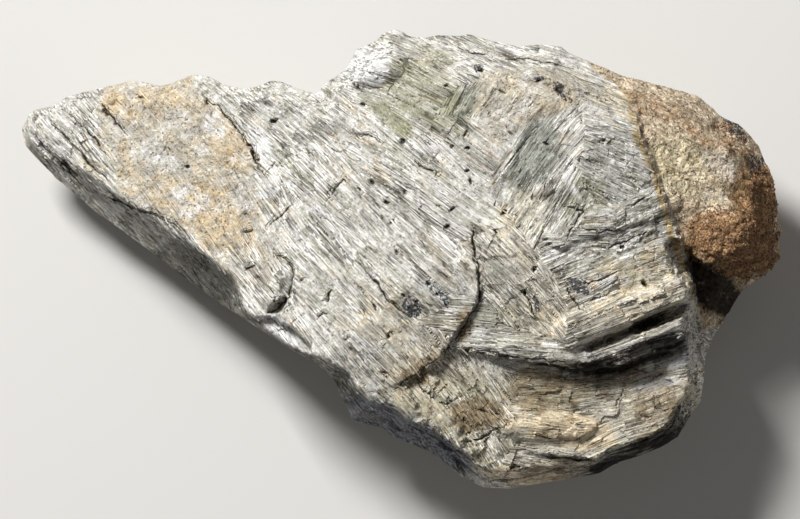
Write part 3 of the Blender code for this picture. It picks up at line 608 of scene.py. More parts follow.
def crackField(places, spec):
    # depth of the cracks, and the signed distance to the nearest in half widths
    depthHere, offset = np.zeros(len(places)), np.full(len(places), spec["reach"])
    ragged = layeredNoise(places, spec["crackRagged"])
    high = places[:, 2] > spec["floor"]
    margin = spec["crackMargin"]
    for depth, halfWidth, line in spec["cracks"]:
        points = np.array(line, float)
        inBox = (places[:, :2] > points.min(0) - margin) & (places[:, :2] < points.max(0) + margin)
        near = np.flatnonzero(inBox.all(1) & high)
        away, share = nearLine(places[near, 0], places[near, 1], points)
        width = halfWidth * np.sin(math.pi * np.clip(share, *spec["crackEnds"])) ** spec["crackTaper"]
        scaled = np.clip((away + ragged[near]) / width, -spec["reach"], spec["reach"])
        depthHere[near] = np.maximum(depthHere[near], depth * width / halfWidth * np.exp(-(scaled**2)))
        closer = np.abs(scaled) < np.abs(offset[near])
        offset[near[closer]] = scaled[closer]
    return depthHere, offset


def pitField(places, spec):
    # depth of the pits, and how far inside one each place is
    x, y = places[:, 0], places[:, 1]
    ragged = layeredNoise(places, spec["pitRagged"])
    depthHere, inside = np.zeros(len(x)), np.zeros(len(x))
    high = places[:, 2] > spec["floor"]
    longer, wider = spec["pitMargin"]
    for px, py, length, width, turn, depth in spec["pits"]:
        near = np.flatnonzero((np.abs(x - px) < length + 1) & (np.abs(y - py) < length + 1) & high)
        radii = length / 2 + longer, width / 2 + wider
        share = ovalShare(x[near], y[near], (px, py), radii, turn) + ragged[near]
        inside[near] = np.maximum(inside[near], share)
        depthHere[near] = np.maximum(depthHere[near], depth * np.clip(share * spec["pitSlope"], 0, 1))
    return depthHere, np.clip(inside, -1, 1)


def carveBlades(body, spec, rim):
    # moves the surface blade by blade; returns what the colours need to know at each point
    places, normals = coordinates(body.data), threes(body.data.vertices, "normal")
    turn, relief, run = nearestRun(places, spec)
    local = bladeCoordinates(places, turn)
    step, _, edge, _, bundle = bladeSteps(local, spec, "bundle", (run.astype(float),), 41)
    splay = (hashOf(*bundle, seed=61) - 0.5) * 2 * spec["splay"]
    offset = np.stack([hashOf(*bundle, seed=s) for s in (62, 63, 64)], 1) * spec["spread"]
    local = bladeCoordinates(places, turn + splay) + offset
    keys = (bundle[0] * 7 + bundle[1] * 3 + bundle[2],)
    bladeStep, tone, _, bladeEnd, blade = bladeSteps(local, spec, "blade", keys, 71)
    needleStep, needleTone, _, _, _ = bladeSteps(local, spec, "needle", (blade[0],), 91)

    # open joints, cracks and pits
    ragged = softNoise(places, spec["raggedSize"], 34)
    brokenSize, slope, base = spec["broken"]
    broken = np.clip(softNoise(places, brokenSize, 39) * slope + base, 0, 1)
    joints = openJoint(edge, hashOf(*bundle, seed=82), spec["gap"], ragged) * broken
    joints = np.maximum(joints, openJoint(bladeEnd, hashOf(*blade, seed=83), spec["snap"], ragged) * broken)
    crack, _ = crackField(places, breaks)
    pit, _ = pitField(places, breaks)

    # calmer near the rim, on the underside and where the surface is weathered
    crusted, grainy = crustShare(places), grainShare(places)
    smooth = np.maximum(crusted * spec["hidden"]["crust"], grainy * spec["hidden"]["grains"])
    bumps = (cellBumps(places, size, seed) * weight for size, weight, seed in spec["granules"])
    granular = sum(bumps) - spec["granuleBase"]
    under = np.clip(-normals[:, 2] * 2, 0, 1)
    inward = rimAt(places[:, 0], places[:, 1], rim, lump["levelling"])[0]
    calm = np.clip(inward / spec["calmEdge"], spec["calmLeast"], 1) * (1 - under * (1 - spec["underCalm"]))
    kept = 1 - spec["underShare"] * under
    move = (step + bladeStep + needleStep) * relief * (1 - smooth)
    rise = spec["granuleRise"]
    weathered = granular * grainy * rise["grains"] + granular * crusted * rise["crust"]
    weathered += layeredNoise(places, spec["swells"]) * np.maximum(crusted, grainy)
    move += weathered
    opened = (joints + pit) * (1 - spec["underShare"] * grainy) * kept
    move = move * calm - opened * calm - crack
    places = places + normals * move[:, None]
    places[:, 2] = np.maximum(places[:, 2], spec["deepest"])
    moveTo(body.data, places)
    # painted shade: dark in open joints and in the low places between granules
    jointGloom, lowest = spec["gloom"]
    gloom = np.clip(joints * jointGloom * kept + np.clip(lowest - granular, 0, 1) * grainy, 0, 1)
    tone = tone * spec["tones"][0] + needleTone * spec["tones"][1]
    return {"places": places, "turn": turn + splay, "offset": offset, "tone": tone, "gloom": gloom}


# where the surface is weathered crust or loose granules instead of blades

crust = {
    "wing": [(-58, 40), (-46, 41), (-38.6, 33), (-34.4, 27.6), (-29.6, 22), (-28.4, 16.4), (-27.6, 12),
             (-29.4, 6), (-33.4, 2), (-38.4, 2.6), (-47.4, 8.4), (-55.4, 11.6), (-57, 16), (-57.4, 21),
             (-59.4, 26), (-61, 31)],
    "shoulder": [(34, 45), (38, 38), (42.4, 35), (46.2, 30), (47.2, 24.6), (50.4, 19), (52, 14), (53.8, 8),
                 (55, 3.4), (57.6, -1.4), (59, -6), (60, -14), (70, -12), (85, -8), (90, 30), (60, 60)],
    "top": [(15.6, 37), (19.6, 38.4), (25.6, 38.8), (31.6, 37.6), (37.6, 35), (38.8, 32), (33.6, 29.6),
            (29.2, 28.4), (23.6, 26), (19.6, 22), (17.2, 24), (15.2, 28), (14, 32)],
    "softness": 2.2,
    "shoulderSoftness": 2.2 / 3,  # its border is three times as sharp
    "strengths": {"wing": 0.8, "top": 0.75},
    # the height where crust sets in, and the height over which it does
    "shoulderFrom": (5, 8),
    "highFrom": (14, 3),
    # loose granules: soft ovals as centre, radii, turn and strength
    "grains": [
        ((66.5, 3.6), (12, 8), -18, 1), ((72, 12), (5, 10), -14, 0.7), ((66, 24), (7, 3), -40, 0.4),
    ],
    "grainSlope": 1.5,
}


def softOutline(places, outline, softness):
    # 1 inside an outline and 0 outside, with a soft border
    points = np.array(outline + outline[:1], float)
    x, y = places[:, 0], places[:, 1]
    share = np.zeros(len(x))
    inBox = (places[:, :2] > points.min(0) - softness) & (places[:, :2] < points.max(0) + softness)
    for part in batches(np.flatnonzero(inBox.all(1)), 40000):
        distance, _, _ = toLine(x[part], y[part], points)
        side = np.where(inOutline(x[part], y[part], outline), 1, -1)
        share[part] = np.clip(0.5 + side * distance.min(1) / softness, 0, 1)
    return share


def above(places, start, reach):
    # 0 up to the start height, and 1 from there plus the reach
    return np.clip((places[:, 2] - start) / reach, 0, 1)


def shoulderShare(places):
    inside = softOutline(places, crust["shoulder"], crust["shoulderSoftness"])
    return inside * above(places, *crust["shoulderFrom"])


def crustShare(places):
    share = shoulderShare(places)
    high = above(places, *crust["highFrom"])
    for name, strength in crust["strengths"].items():
        inside = softOutline(places, crust[name], crust["softness"])
        share = np.maximum(share, inside * high * strength)
    return share


def grainShare(places):
    share = np.zeros(len(places))
    for centre, radii, turn, strength in crust["grains"]:
        inside = crust["grainSlope"] * ovalShare(places[:, 0], places[:, 1], centre, radii, turn)
        share = np.maximum(share, strength * np.clip(inside, 0, 1))
    return share * shoulderShare(places)


def sliceLevel(body):
    # cuts the underside off at the level it rests on
    work = bmesh.new()
    work.from_mesh(body.data)
    everything = work.verts[:] + work.edges[:] + work.faces[:]
    bmesh.ops.bisect_plane(work, geom=everything, plane_co=(0, 0, 0), plane_no=(0, 0, 1), clear_inner=True)
    bmesh.ops.holes_fill(work, edges=[edge for edge in work.edges if edge.is_boundary])
    bmesh.ops.triangulate(work, faces=[face for face in work.faces if len(face.verts) > 4])
    work.to_mesh(body.data)
    work.free()


def thinOut(body, spec):
    # fewer triangles: first on the sides and the underside, then everywhere
    upward, height = threes(body.data.vertices, "normal")[:, 2], coordinates(body.data)[:, 2]
    chosen = np.flatnonzero((upward < spec["lowFacing"]) | (height < spec["lowHeight"]))
    body.vertex_groups.new(name="lower").add(chosen.tolist(), 1.0, "REPLACE")
    share = len(chosen) / len(body.data.vertices)
    ratio = 1 - share * (1 - spec["keepLow"])
    withModifier(body, "DECIMATE", ratio=ratio, use_collapse_triangulate=True, vertex_group="lower")
    ratio = min(1, spec["triangles"] / len(body.data.polygons))
    withModifier(body, "DECIMATE", ratio=ratio, use_collapse_triangulate=True)


def lookUp(known, places):
    # index of the carved point nearest to each place
    tree = kdtree.KDTree(len(known))
    for index, point in enumerate(known):
        tree.insert(point, index)
    tree.balance()
    return np.array([tree.find(place)[1] for place in places])


# stains and painted shadow: soft ovals in plan, each with centre, radii, turn and strength

stainsAndShade = {
    "buff": [
        ((9, -29), (15, 11), -50, 0.95), ((2, -13), (12, 8), -45, 0.55), ((28, -9), (10, 8), 0, 0.7),
        ((20, -1), (9, 7), 0, 0.6), ((45, -8), (14, 9), 20, 0.75), ((30, -32), (28, 12), 4, 0.8),
        ((50, -28), (12, 9), 15, 0.75), ((24, 9), (8, 5), 30, 0.6), ((22, 33), (9, 5), -20, 0.5),
        ((-30, 0), (6, 8), -50, 0.4), ((36, 34), (9, 3), -20, 0.5),
    ],
    "ochre": [
        ((-56, 30.4), (5, 2.4), -30, 0.9), ((-48.5, 31.6), (7, 2.6), -4, 0.65),
        ((-34, 22.5), (6, 4.5), -50, 0.7), ((-38, 9), (9, 6), -60, 0.75), ((-33, 5), (5, 4), -50, 0.6),
        ((-48, 14), (7, 4), -30, 0.55), ((-60, 22), (5, 7), -45, 0.35), ((29, -12), (4.5, 3), -50, 0.55),
        ((33, -33.5), (10.5, 3.8), -8, 1.1), ((23, -31), (6, 3.6), 30, 0.6), ((50, -35), (6, 2.4), 25, 0.5),
        ((24, -43), (9, 2), -4, 0.75), ((44, 31), (6, 3), -30, 0.45), ((45, -0.6), (7, 2.4), 20, 0.5),
        ((37, -5), (2.4, 2), 0, 0.7), ((50, 2), (3, 5), 10, 0.4), ((20, 8), (5, 3.5), 40, 0.4),
        ((7, 18), (5, 3), -40, 0.3), ((46, -6), (11, 6), 20, 0.42), ((4, -26), (12, 6), -45, 0.35),
        ((-4, -12), (8, 5), -45, 0.3),
    ],
    "umber": [
        ((28, -26), (9, 5), 2, 0.75), ((44, -24), (8, 3.5), 15, 0.55), ((32, -42), (10, 2.6), -4, 0.7),
        ((51, -28.5), (7.5, 4.5), 25, 0.75), ((15, -31), (5.4, 3.8), 15, 1.2),
        ((3.6, -21.8), (5.4, 1.5), 36, 0.95), ((12.2, -12.6), (1.4, 4), -28, 0.8),
        ((36, -22.8), (5, 1.4), 0, 0.6),
    ],
    "olive": [
        ((-2.5, 28.6), (6.5, 2.2), -38, 0.85), ((6, 40.8), (5, 1.8), -24, 0.7),
        ((5, 36), (4, 1.6), -22, 0.6), ((5, 32.5), (12, 6.5), -30, 0.75), ((-8, -14), (14, 7), -45, 0.2),
        ((12, -29), (8, 8), -54, 0.45), ((2, -28), (8, 6), -50, 0.3), ((20, -13), (8, 5), 0, 0.4),
        ((-12, -2), (10, 4), -45, 0.25), ((44, 2), (12, 9), 0, 0.25), ((29, -26), (10, 4.5), 5, 0.55),
        ((36, 12.5), (4, 6), -35, 0.6), ((22, 12), (5, 3), 50, 0.35),
    ],
    "slate": [
        ((26.4, 20.6), (4.4, 8.4), -28, 0.95), ((31.6, 11.6), (2.8, 4.2), -32, 0.6),
        ((13.5, 31.5), (1.8, 7), -34, 0.6), ((45, 12.4), (7, 2.2), -8, 0.5), ((40, 25.5), (5, 3), -20, 0.2),
        ((38.5, 18.5), (4, 5), 50, 0.4), ((34.5, 11), (3, 5), -35, 0.4), ((20.5, -3.6), (3, 6), 40, 0.45),
        ((41, -21.5), (4, 2.6), 0, 0.5), ((-20, 26.5), (7, 4), -38, 0.35), ((-26, 33), (5, 2.4), -36, 0.4),
        ((-40, 20), (7, 4), 40, 0.35),
    ],
    "sooty": [
        ((1.4, -8.8), (3, 2), -52, 0.75), ((5, -4.6), (2, 1), -45, 0.6), ((8.2, -7), (3.2, 1), -54, 0.7),
        ((26.2, -8.4), (0.8, 2.6), 15, 0.7), ((31.6, 33.4), (3.6, 1.3), -48, 0.62),
        ((27.4, 35.6), (2.2, 1), -10, 0.5), ((34.8, -4.6), (3.6, 1.6), -30, 0.72),
        ((-23.4, -8.6), (2.2, 3.4), 40, 0.5), ((66.5, 26), (4, 1.8), -40, 0.7),
        ((71, 19), (2.4, 3.4), 20, 0.6), ((15.4, 38), (1.6, 1), -60, 0.6),
        ((6.4, -19.6), (3.4, 1.6), 40, 0.45), ((42, -20.2), (7, 1.2), 12, 0.6),
        ((56, -30), (4, 2.6), 40, 0.5),
    ],
    "chalk": [
        ((-6.5, 38), (5.6, 4.6), 30, 1), ((-28, 23), (2.2, 4.4), 30, 0.8),
        ((-26.6, 12.4), (2.8, 1), -8, 0.95), ((-15.8, 9.8), (3, 0.9), -18, 0.8),
        ((-24, 14.8), (3, 2), 0, 0.5), ((-42, 12), (5, 4), 0, 0.5), ((-49, 20), (6, 3), -20, 0.5),
        ((-37, 27), (4, 2.4), -50, 0.6), ((25.4, 36.8), (0.9, 1.1), 0, 1), ((34, 14), (0.9, 4.6), 35, 0.8),
        ((43.5, 20), (5, 4.6), -20, 0.15), ((43, 29), (5.5, 3), -30, 0.2),
        ((54.5, -19.8), (4.4, 1.6), 12, 0.8), ((50.5, -24), (6, 1.6), 8, 0.6),
        ((-24, -14), (5.6, 1.9), -36, 1.2), ((-70, 25), (6, 5), -45, 0.45), ((5, 21.4), (3, 2), -20, 0.5),
        ((-20.4, 4.6), (3, 6), 45, 0.4), ((47.6, 4.6), (5, 1.6), 12, 0.4), ((-15, 6), (8, 5), -45, 0.3),
        ((10, 12), (8, 4), -40, 0.25), ((39.6, -6), (6, 2.4), 20, 0.6), ((43.6, 4), (6, 3.4), 10, 0.4),
        ((10.6, -34), (5, 2.6), -50, 0.3),
    ],
    # painted shadow in the hollow under the shoulder bulge
    "paintedShadow": [((61.5, -3.2), (6.2, 2.8), -30, 1.1), ((63.4, -7.4), (7.4, 3.8), -30, 1)],
    "mustard": [((54, 18.5), (6.5, 7), -40, 1), ((60.5, 14), (5, 4), -30, 0.5)],
    "pearl": [((53, 7), (2, 4), 20, 0.6), ((63, 19), (6, 2.6), -35, 0.55), ((62, 12), (4, 3), 0, 0.4)],
    "rust": [
        ((66, 3), (11, 7), -18, 1), ((70.4, 12), (5.6, 9), -10, 1.05), ((58.2, 0), (2.2, 6), 24, 0.8),
        ((52, 30), (7, 2.6), -28, 0.5), ((58, 26), (6, 2), -36, 0.5), ((66, 22), (5, 2.4), -34, 0.45),
        ((47, 31.5), (5, 2), -30, 0.5), ((59.6, -9), (1.6, 3), 0, 0.6),
    ],
}

# stained stripes and stripes of painted shade, each with half width, strength and line
stripesAndShade = {
    # painted shade in dark blue-grey along the dark side, which is turned away from the light
    "paintedSideShade": [
        (3, 1.2, [(-12, -27), (-9.6, -30), (-4, -31.8), (1, -34), (5.4, -36.6), (10.2, -40.4),
                  (14.6, -43.6)]),
    ],
    "tanStripe": [(0.62, 1, [(42.6, 36), (45.6, 30.6), (46.4, 24.6), (49.2, 19.4), (50.8, 14), (52.6, 8),
                             (53.8, 3.4), (56.2, -1.4), (57.8, -6.4), (58.6, -10.4)])],
    # painted shadow in the groove, under the lower log, below the ledge and the foot step, and on the shaded
    # lower right wall
    "paintedShadow": [
        (0.4, 0.8, [(33, -19), (41, -15.8), (46.6, -13.5)]),
        (0.8, 0.85, [(45.6, -13.8), (52.4, -11.2), (57.2, -8.8)]),
        (2, 1.3, [(32, -21.8), (38.4, -21.4), (44, -19.8), (49, -18.2), (53.6, -16.6), (57.6, -15)]),
        (0.35, 0.6, [(18, -19.4), (28, -20.6), (34, -21.6), (38, -21.8)]),
        (0.3, 0.6, [(30, -39.4), (40, -39.9)]),
        (2.4, 1.2, [(37, -43), (41.5, -41.2), (46, -39.6), (50.8, -37.8), (55, -35), (58, -31)]),
    ],
}


# how stains and painted shade wander and end: size, reach and seed of the noise, and how steeply they fade
spread = {
    "patchWander": (5.0, 1.2, 21),
    "patchFade": (1.2, 0.35),
    "stripeWander": (3.0, 0.35, 22),
    "stripeUneven": [(6.0, 0.7, 23), (2.4, 0.45, 24)],
    "stripeFade": 1.6,
    "stripeEnd": 4.0,
    "endWidth": 0.4,
    "endStrength": 0.4,
    "wallBorder": 2,  # height over which the painted shade of the sides sets in below the rim
    "lowShade": 0.5,
}


def stainAt(places, patches, spec):
    total = np.zeros(len(places))
    wander = layeredNoise(places, [spec["patchWander"]])
    slope, base = spec["patchFade"]
    for centre, radii, turn, strength in patches:
        share = ovalShare(places[:, 0] + wander, places[:, 1] - wander, centre, radii, turn)
        total = np.maximum(total, strength * np.clip(share * slope + base, 0, 1))
    return total


def stripeAt(places, lines, spec):
    # a stripe narrows and fades towards its ends, unevenly
    total = np.zeros(len(places))
    wander = layeredNoise(places, [spec["stripeWander"]])
    uneven = 1 + layeredNoise(places, spec["stripeUneven"])
    for halfWidth, strength, line in lines:
        away, share = nearLine(places[:, 0] + wander, places[:, 1], np.array(line, float))
        fromEnd = spec["stripeEnd"] * np.minimum(share, 1 - share)
        width = halfWidth * np.clip(fromEnd + spec["endWidth"], 0, 1)
        fade = spec["endStrength"] + (1 - spec["endStrength"]) * np.clip(fromEnd, 0, 1)
        inside = np.clip(spec["stripeFade"] - np.abs(away) / width, 0, 1)
        total = np.maximum(total, strength * fade * uneven * inside)
    return total


def addValues(mesh, name, values, kind="FLOAT", domain="POINT"):
    attribute = mesh.attributes.new(name, kind, domain)
    field = "vector" if kind == "FLOAT_VECTOR" else "value"
    attribute.data.foreach_set(field, np.ascontiguousarray(values, np.float32).ravel())


def integers(items, field):
    found = np.empty(len(items), np.int32)
    items.foreach_get(field, found)
    return found


def addStainsAndShade(mesh, places):
    for name in {**stainsAndShade, **stripesAndShade}:
        patched = stainAt(places, stainsAndShade.get(name, []), spread)
        addValues(mesh, name, np.maximum(patched, stripeAt(places, stripesAndShade.get(name, []), spread)))
    addValues(mesh, "crust", crustShare(places))
    addValues(mesh, "shoulder", shoulderShare(places))


def addSurfaceValues(mesh, carved, rim):
    # stores on the mesh what the materials read: blade coordinates, tone, gloom for the painted shade of open
    # joints, cracks, stains and the painted shade of the walls
    places = coordinates(mesh)
    corners = integers(mesh.loops, "vertex_index")
    starts, sizes = (integers(mesh.polygons, field) for field in ("loop_start", "loop_total"))
    centres = np.add.reduceat(places[corners], starts) / sizes[:, None]
    nearest = lookUp(carved["places"], centres)
    own = nearest[np.repeat(np.arange(len(sizes)), sizes)]
    fibre = bladeCoordinates(places[corners], carved["turn"][own]) + carved["offset"][own]
    addValues(mesh, "fibre", fibre, "FLOAT_VECTOR", "CORNER")
    addValues(mesh, "tone", carved["tone"][own], domain="CORNER")
    addValues(mesh, "gloom", carved["gloom"][lookUp(carved["places"], places)])
    addValues(mesh, "crack", crackField(places, breaks)[1])
    addValues(mesh, "pit", pitField(places, breaks)[1])
    # painted shade: darker on the steep sides and, below the rim's height, on the underside
    _, _, wallShade, rimHeight = bigShape(places[:, 0], places[:, 1], lump, rim)
    low = np.clip((rimHeight - places[:, 2]) / spread["wallBorder"] + 0.5, 0, 1)
    addValues(mesh, "wall", np.clip(np.maximum(wallShade, low * spread["lowShade"]), 0, 1))
    addStainsAndShade(mesh, places)
    return nearest


# materials

def toLinear(red, green, blue):
    values = [v / 255 for v in (red, green, blue)]
    return [v / 12.92 if v <= 0.04045 else ((v + 0.055) / 1.055) ** 2.4 for v in values] + [1]


class Sheet:
    # short ways to add nodes to a material or a node group
    def __init__(self, tree):
        self.tree = tree
        self.count = 0

    def put(self, socket, value):
        if isinstance(value, bpy.types.NodeSocket):
            self.tree.links.new(value, socket)
        elif value is not None:
            socket.default_value = value

    def node(self, kind, **settings):
        made = self.tree.nodes.new(kind)
        made.location = (self.count % 12 * 190 - 1400, 500 - self.count // 12 * 260)
        self.count += 1
        for name, value in settings.items():
            setattr(made, name, value)
        return made

    def fill(self, made, **values):
        for name, value in values.items():
            self.put(made.inputs[name], value)
        return made.outputs

    def math(self, operation, *values):
        made = self.node("ShaderNodeMath", operation=operation)
        for socket, value in zip(made.inputs, values):
            self.put(socket, value)
        return made.outputs[0]

    def times(self, first, second):
        return self.math("MULTIPLY", first, second)

    def most(self, *values):
        # the highest of some values
        result = values[0]
        for value in values[1:]:
            result = self.math("MAXIMUM", result, value)
        return result

    def restOf(self, value):
        return self.math("SUBTRACT", 1.0, value)

    def centred(self, noise):
        return self.math("SUBTRACT", noise, 0.5)

    def total(self, *parts):
        # weighted sum: each part is (value, weight)
        result = self.times(*parts[0])
        for value, weight in parts[1:]:
            result = self.math("MULTIPLY_ADD", value, weight, result)
        return result

    def vector(self, operation, first, second, output=0):
        made = self.node("ShaderNodeVectorMath", operation=operation)
        self.put(made.inputs[0], first)
        self.put(made.inputs[1], second)
        return made.outputs[output]

    def stretched(self, vector, sizes):
        return self.vector("MULTIPLY", vector, sizes)

    def attribute(self, name, output="Fac"):
        return self.node("ShaderNodeAttribute", attribute_name=name).outputs[output]

    def noise(self, vector, scale, detail=2.0, roughness=0.5, distortion=0.0):
        made = self.node("ShaderNodeTexNoise")
        self.fill(made, Vector=vector, Scale=scale, Detail=detail, Roughness=roughness, Distortion=distortion)
        return made.outputs["Fac"]

    def cells(self, vector, scale=1.0, feature="F1"):
        made = self.node("ShaderNodeTexVoronoi", feature=feature)
        return self.fill(made, Vector=vector, Scale=scale)

    def cellValue(self, cells):
        # the random value that each cell has to itself
        apart = self.node("ShaderNodeSeparateColor")
        self.put(apart.inputs[0], cells["Color"])
        return apart.outputs[0]

    def ramp(self, value, low, high, toLow=0.0, toHigh=1.0):
        made = self.node("ShaderNodeMapRange", clamp=True)
        limits = {"From Min": low, "From Max": high, "To Min": toLow, "To Max": toHigh}
        return self.fill(made, Value=value, **limits)["Result"]

    def span(self, share, low, high):
        # from low to high as the share goes from 0 to 1
        return self.ramp(share, 0.0, 1.0, low, high)

    def mix(self, share, first, second, blend="MIX"):
        # sockets 6, 7 and output 2 are the ones for colours
        made = self.node("ShaderNodeMix", data_type="RGBA", blend_type=blend)
        for index, value in ((0, share), (6, first), (7, second)):
            self.put(made.inputs[index], value)
        return made.outputs[2]

    def over(self, colour, share, shade):
        # a plain shade laid over a colour
        return self.mix(share, colour, toLinear(*shade))

    def shade(self, light, colours):
        # from the dark colour to the pale one as the light rises
        return self.mix(light, *(toLinear(*colour) for colour in colours))

    def bump(self, distance, height, normal=None):
        made = self.node("ShaderNodeBump")
        made.inputs["Distance"].default_value = distance
        return self.fill(made, Height=height, Normal=normal)["Normal"]


def makeGroup(name, inputs, outputs):
    group = bpy.data.node_groups.new(name, "ShaderNodeTree")
    for label, kind, value in inputs:
        socket = group.interface.new_socket(label, in_out="INPUT", socket_type="NodeSocket" + kind)
        if value is not None:
            socket.default_value = value
    for label in outputs:
        group.interface.new_socket(label, in_out="OUTPUT", socket_type="NodeSocketFloat")
    sheet = Sheet(group)
    return group, sheet, sheet.node("NodeGroupInput").outputs, sheet.node("NodeGroupOutput").inputs


def placeGroup(sheet, group, **values):
    return sheet.fill(sheet.node("ShaderNodeGroup", node_tree=group), **values)


def newMaterial(name):
    material = bpy.data.materials.new(name)
    material.use_nodes = True
    return material, Sheet(material.node_tree), material.node_tree.nodes["Principled BSDF"]


# sizes are repeats per mm along, across and through the blades; a noise is its detail and roughness
fibres = {
    "bend": {"size": (0.05, 0.15, 0.15), "noise": (1.0,), "reach": 1.4},
    "laths": {"size": (0.05, 0.8, 0.3), "share": 0.05, "height": 0.3,
              "slit": (0.1, 0.03), "slitPatch": (0.46, 0.6)},
    "needles": {"size": (0.08, 2.5, 0.6), "share": 0.14, "height": 0.16,
                "slit": (0.2, 0.05), "slitPatch": (0.5, 0.64)},
    "hairs": {"size": (0.08, 5.0, 1.1), "share": 0.8, "height": 0.1},
    "streak": {"size": (0.1, 1.7, 0.5), "noise": (4.0, 0.7), "share": 0.15, "height": 0.3},
    "broad": {"size": (0.05, 0.3, 0.25), "noise": (2.0,), "share": 0.08},
    "toneShare": 0.04,
    "lightRange": (0.12, 1.01),
    "tint": {"size": (0.07, 0.3, 0.3), "noise": (3.0, 0.6)},
    "slitPatches": {"size": (0.15, 0.4, 0.4), "noise": (2.0,)},
    "needleSlits": 0.6,
    "slitDepths": (-0.2, -0.1),  # lath, needle
    "fleck": {"size": (1.1, 3.6, 3.0), "noise": (2.0, 0.6), "height": 0.08,
              "dark": (0.34, 0.3), "pale": (0.66, 0.7)},
    "grit": (1.4, 4.0, 1.6),
}


def makeFibreGrain(spec):
    # laths, needles and hairs in blade coordinates: their light and dark, colour, slits, flecks and height
    group, sheet, given, out = makeGroup(
        "Fibre grain",
        [("Fibre", "Vector", None), ("Tone", "Float", 0.5)],
        ["Light", "Tint", "Slit", "Fleck", "Glint", "Grit", "Height"],
    )

    def noiseOf(vector, size):
        return sheet.noise(sheet.stretched(vector, size["size"]), 1.0, *size["noise"])

    bend = noiseOf(given["Fibre"], spec["bend"])
    sway = sheet.node("ShaderNodeCombineXYZ")
    sheet.put(sway.inputs["Y"], sheet.times(sheet.centred(bend), spec["bend"]["reach"]))
    fibre = sheet.vector("ADD", given["Fibre"], sway.outputs[0])
    laths, needles, hairs = spec["laths"], spec["needles"], spec["hairs"]
    streak, broad = spec["streak"], spec["broad"]
    lath, needle, hair = (sheet.stretched(fibre, size["size"]) for size in (laths, needles, hairs))
    lathCells, needleCells, hairCells = (sheet.cells(vector) for vector in (lath, needle, hair))
    names = "streak", "broad", "tint", "slitPatches", "fleck"
    streaks, broads, tint, patches, fleck = (noiseOf(fibre, spec[name]) for name in names)

    def facets(cells, vector):
        # the height of flats that each lean their own way
        own = sheet.vector("SUBTRACT", cells["Color"], (0.5, 0.5, 0.5))
        away = sheet.vector("SUBTRACT", vector, cells["Position"])
        return sheet.vector("DOT_PRODUCT", away, own, "Value")

    lathValue, needleValue = sheet.cellValue(lathCells), sheet.cellValue(needleCells)
    hairValue = sheet.cellValue(hairCells)
    light = sheet.total(
        (lathValue, laths["share"]), (needleValue, needles["share"]), (hairValue, hairs["share"]),
        (streaks, streak["share"]), (broads, broad["share"]), (given["Tone"], spec["toneShare"]),
    )
    sheet.put(out["Light"], sheet.ramp(light, *spec["lightRange"]))
    sheet.put(out["Tint"], tint)

    def slits(vector, size):
        edge = sheet.cells(vector, feature="DISTANCE_TO_EDGE")["Distance"]
        return sheet.times(sheet.ramp(edge, *size["slit"]), sheet.ramp(patches, *size["slitPatch"]))

    lathSlit, needleSlit = slits(lath, laths), slits(needle, needles)
    sheet.put(out["Slit"], sheet.most(lathSlit, sheet.times(needleSlit, spec["needleSlits"])))
    sheet.put(out["Fleck"], sheet.ramp(fleck, *spec["fleck"]["dark"]))
    sheet.put(out["Glint"], sheet.ramp(fleck, *spec["fleck"]["pale"]))
    sheet.put(out["Grit"], sheet.cellValue(sheet.cells(sheet.stretched(fibre, spec["grit"]))))
    lathDepth, needleDepth = spec["slitDepths"]
    height = sheet.total(
        (facets(lathCells, lath), laths["height"]), (facets(needleCells, needle), needles["height"]),
        (hairValue, hairs["height"]), (streaks, streak["height"]),
        (lathSlit, lathDepth), (needleSlit, needleDepth), (fleck, spec["fleck"]["height"]),
    )
    sheet.put(out["Height"], height)
    return group


# noises: share of the grain size, detail, roughness and distortion
crusts = {
    "cloud": (0.25, 5.0, 0.7),
    "small": (1.1, 3.0, 0.7),
    "fold": (0.35, 4.0, 0.6, 1.6),
    "light": {"cloud": 1.0, "small": 0.9, "grains": -0.25},
    "lightRange": (0.6, 1.15),
    "height": {"grains": -0.5, "small": 0.5, "wrinkle": 0.25, "cloud": 0.6},
    "pore": (0.37, 0.31),
    "wrinkle": (0.0, 0.07),
}


def makeCrustGrain(spec):
    # weathered crust: mottling, dark pores and lumpy height, at a size given in grains per metre
    group, sheet, given, out = makeGroup(
        "Crust grain",
        [("Position", "Vector", None), ("Size", "Float", 900.0)],
        ["Light", "Pore", "Wrinkle", "Height"],
    )
    parts = {"grains": sheet.cells(given["Position"], given["Size"])["Distance"]}
    for name in ("cloud", "small", "fold"):
        share, *rest = spec[name]
        parts[name] = sheet.noise(given["Position"], sheet.times(given["Size"], share), *rest)
    parts["wrinkle"] = sheet.ramp(sheet.math("ABSOLUTE", sheet.centred(parts["fold"])), *spec["wrinkle"])
    light, height = (
        sheet.total(*((parts[name], weight) for name, weight in spec[key].items()))
        for key in ("light", "height")
    )
    sheet.put(out["Light"], sheet.ramp(light, *spec["lightRange"]))
    sheet.put(out["Pore"], sheet.ramp(parts["small"], *spec["pore"]))
    sheet.put(out["Wrinkle"], parts["wrinkle"])
    sheet.put(out["Height"], height)
    return group


edge = {"detail": 5.0, "roughness": 0.65, "reach": 1.9, "middle": 0.55, "fadeIn": 0.25}


def makeStainEdge(spec):
    # turns a soft stain, or a soft band of painted shade, into one with a broken, mottled edge
    group, sheet, given, out = makeGroup(
        "Stain edge",
        [("Stain", "Float", 0.0), ("Position", "Vector", None), ("Size", "Float", 400.0),
         ("Softness", "Float", 0.25)],
        ["Mask"],
    )
    cloud = sheet.noise(given["Position"], given["Size"], spec["detail"], spec["roughness"])
    total = sheet.math("MULTIPLY_ADD", sheet.centred(cloud), spec["reach"], given["Stain"])
    low, high = (sheet.math(side, spec["middle"], given["Softness"]) for side in ("SUBTRACT", "ADD"))
    mask = sheet.times(sheet.ramp(total, low, high), sheet.ramp(given["Stain"], 0.0, spec["fadeIn"]))
    sheet.put(out["Mask"], mask)
    return group


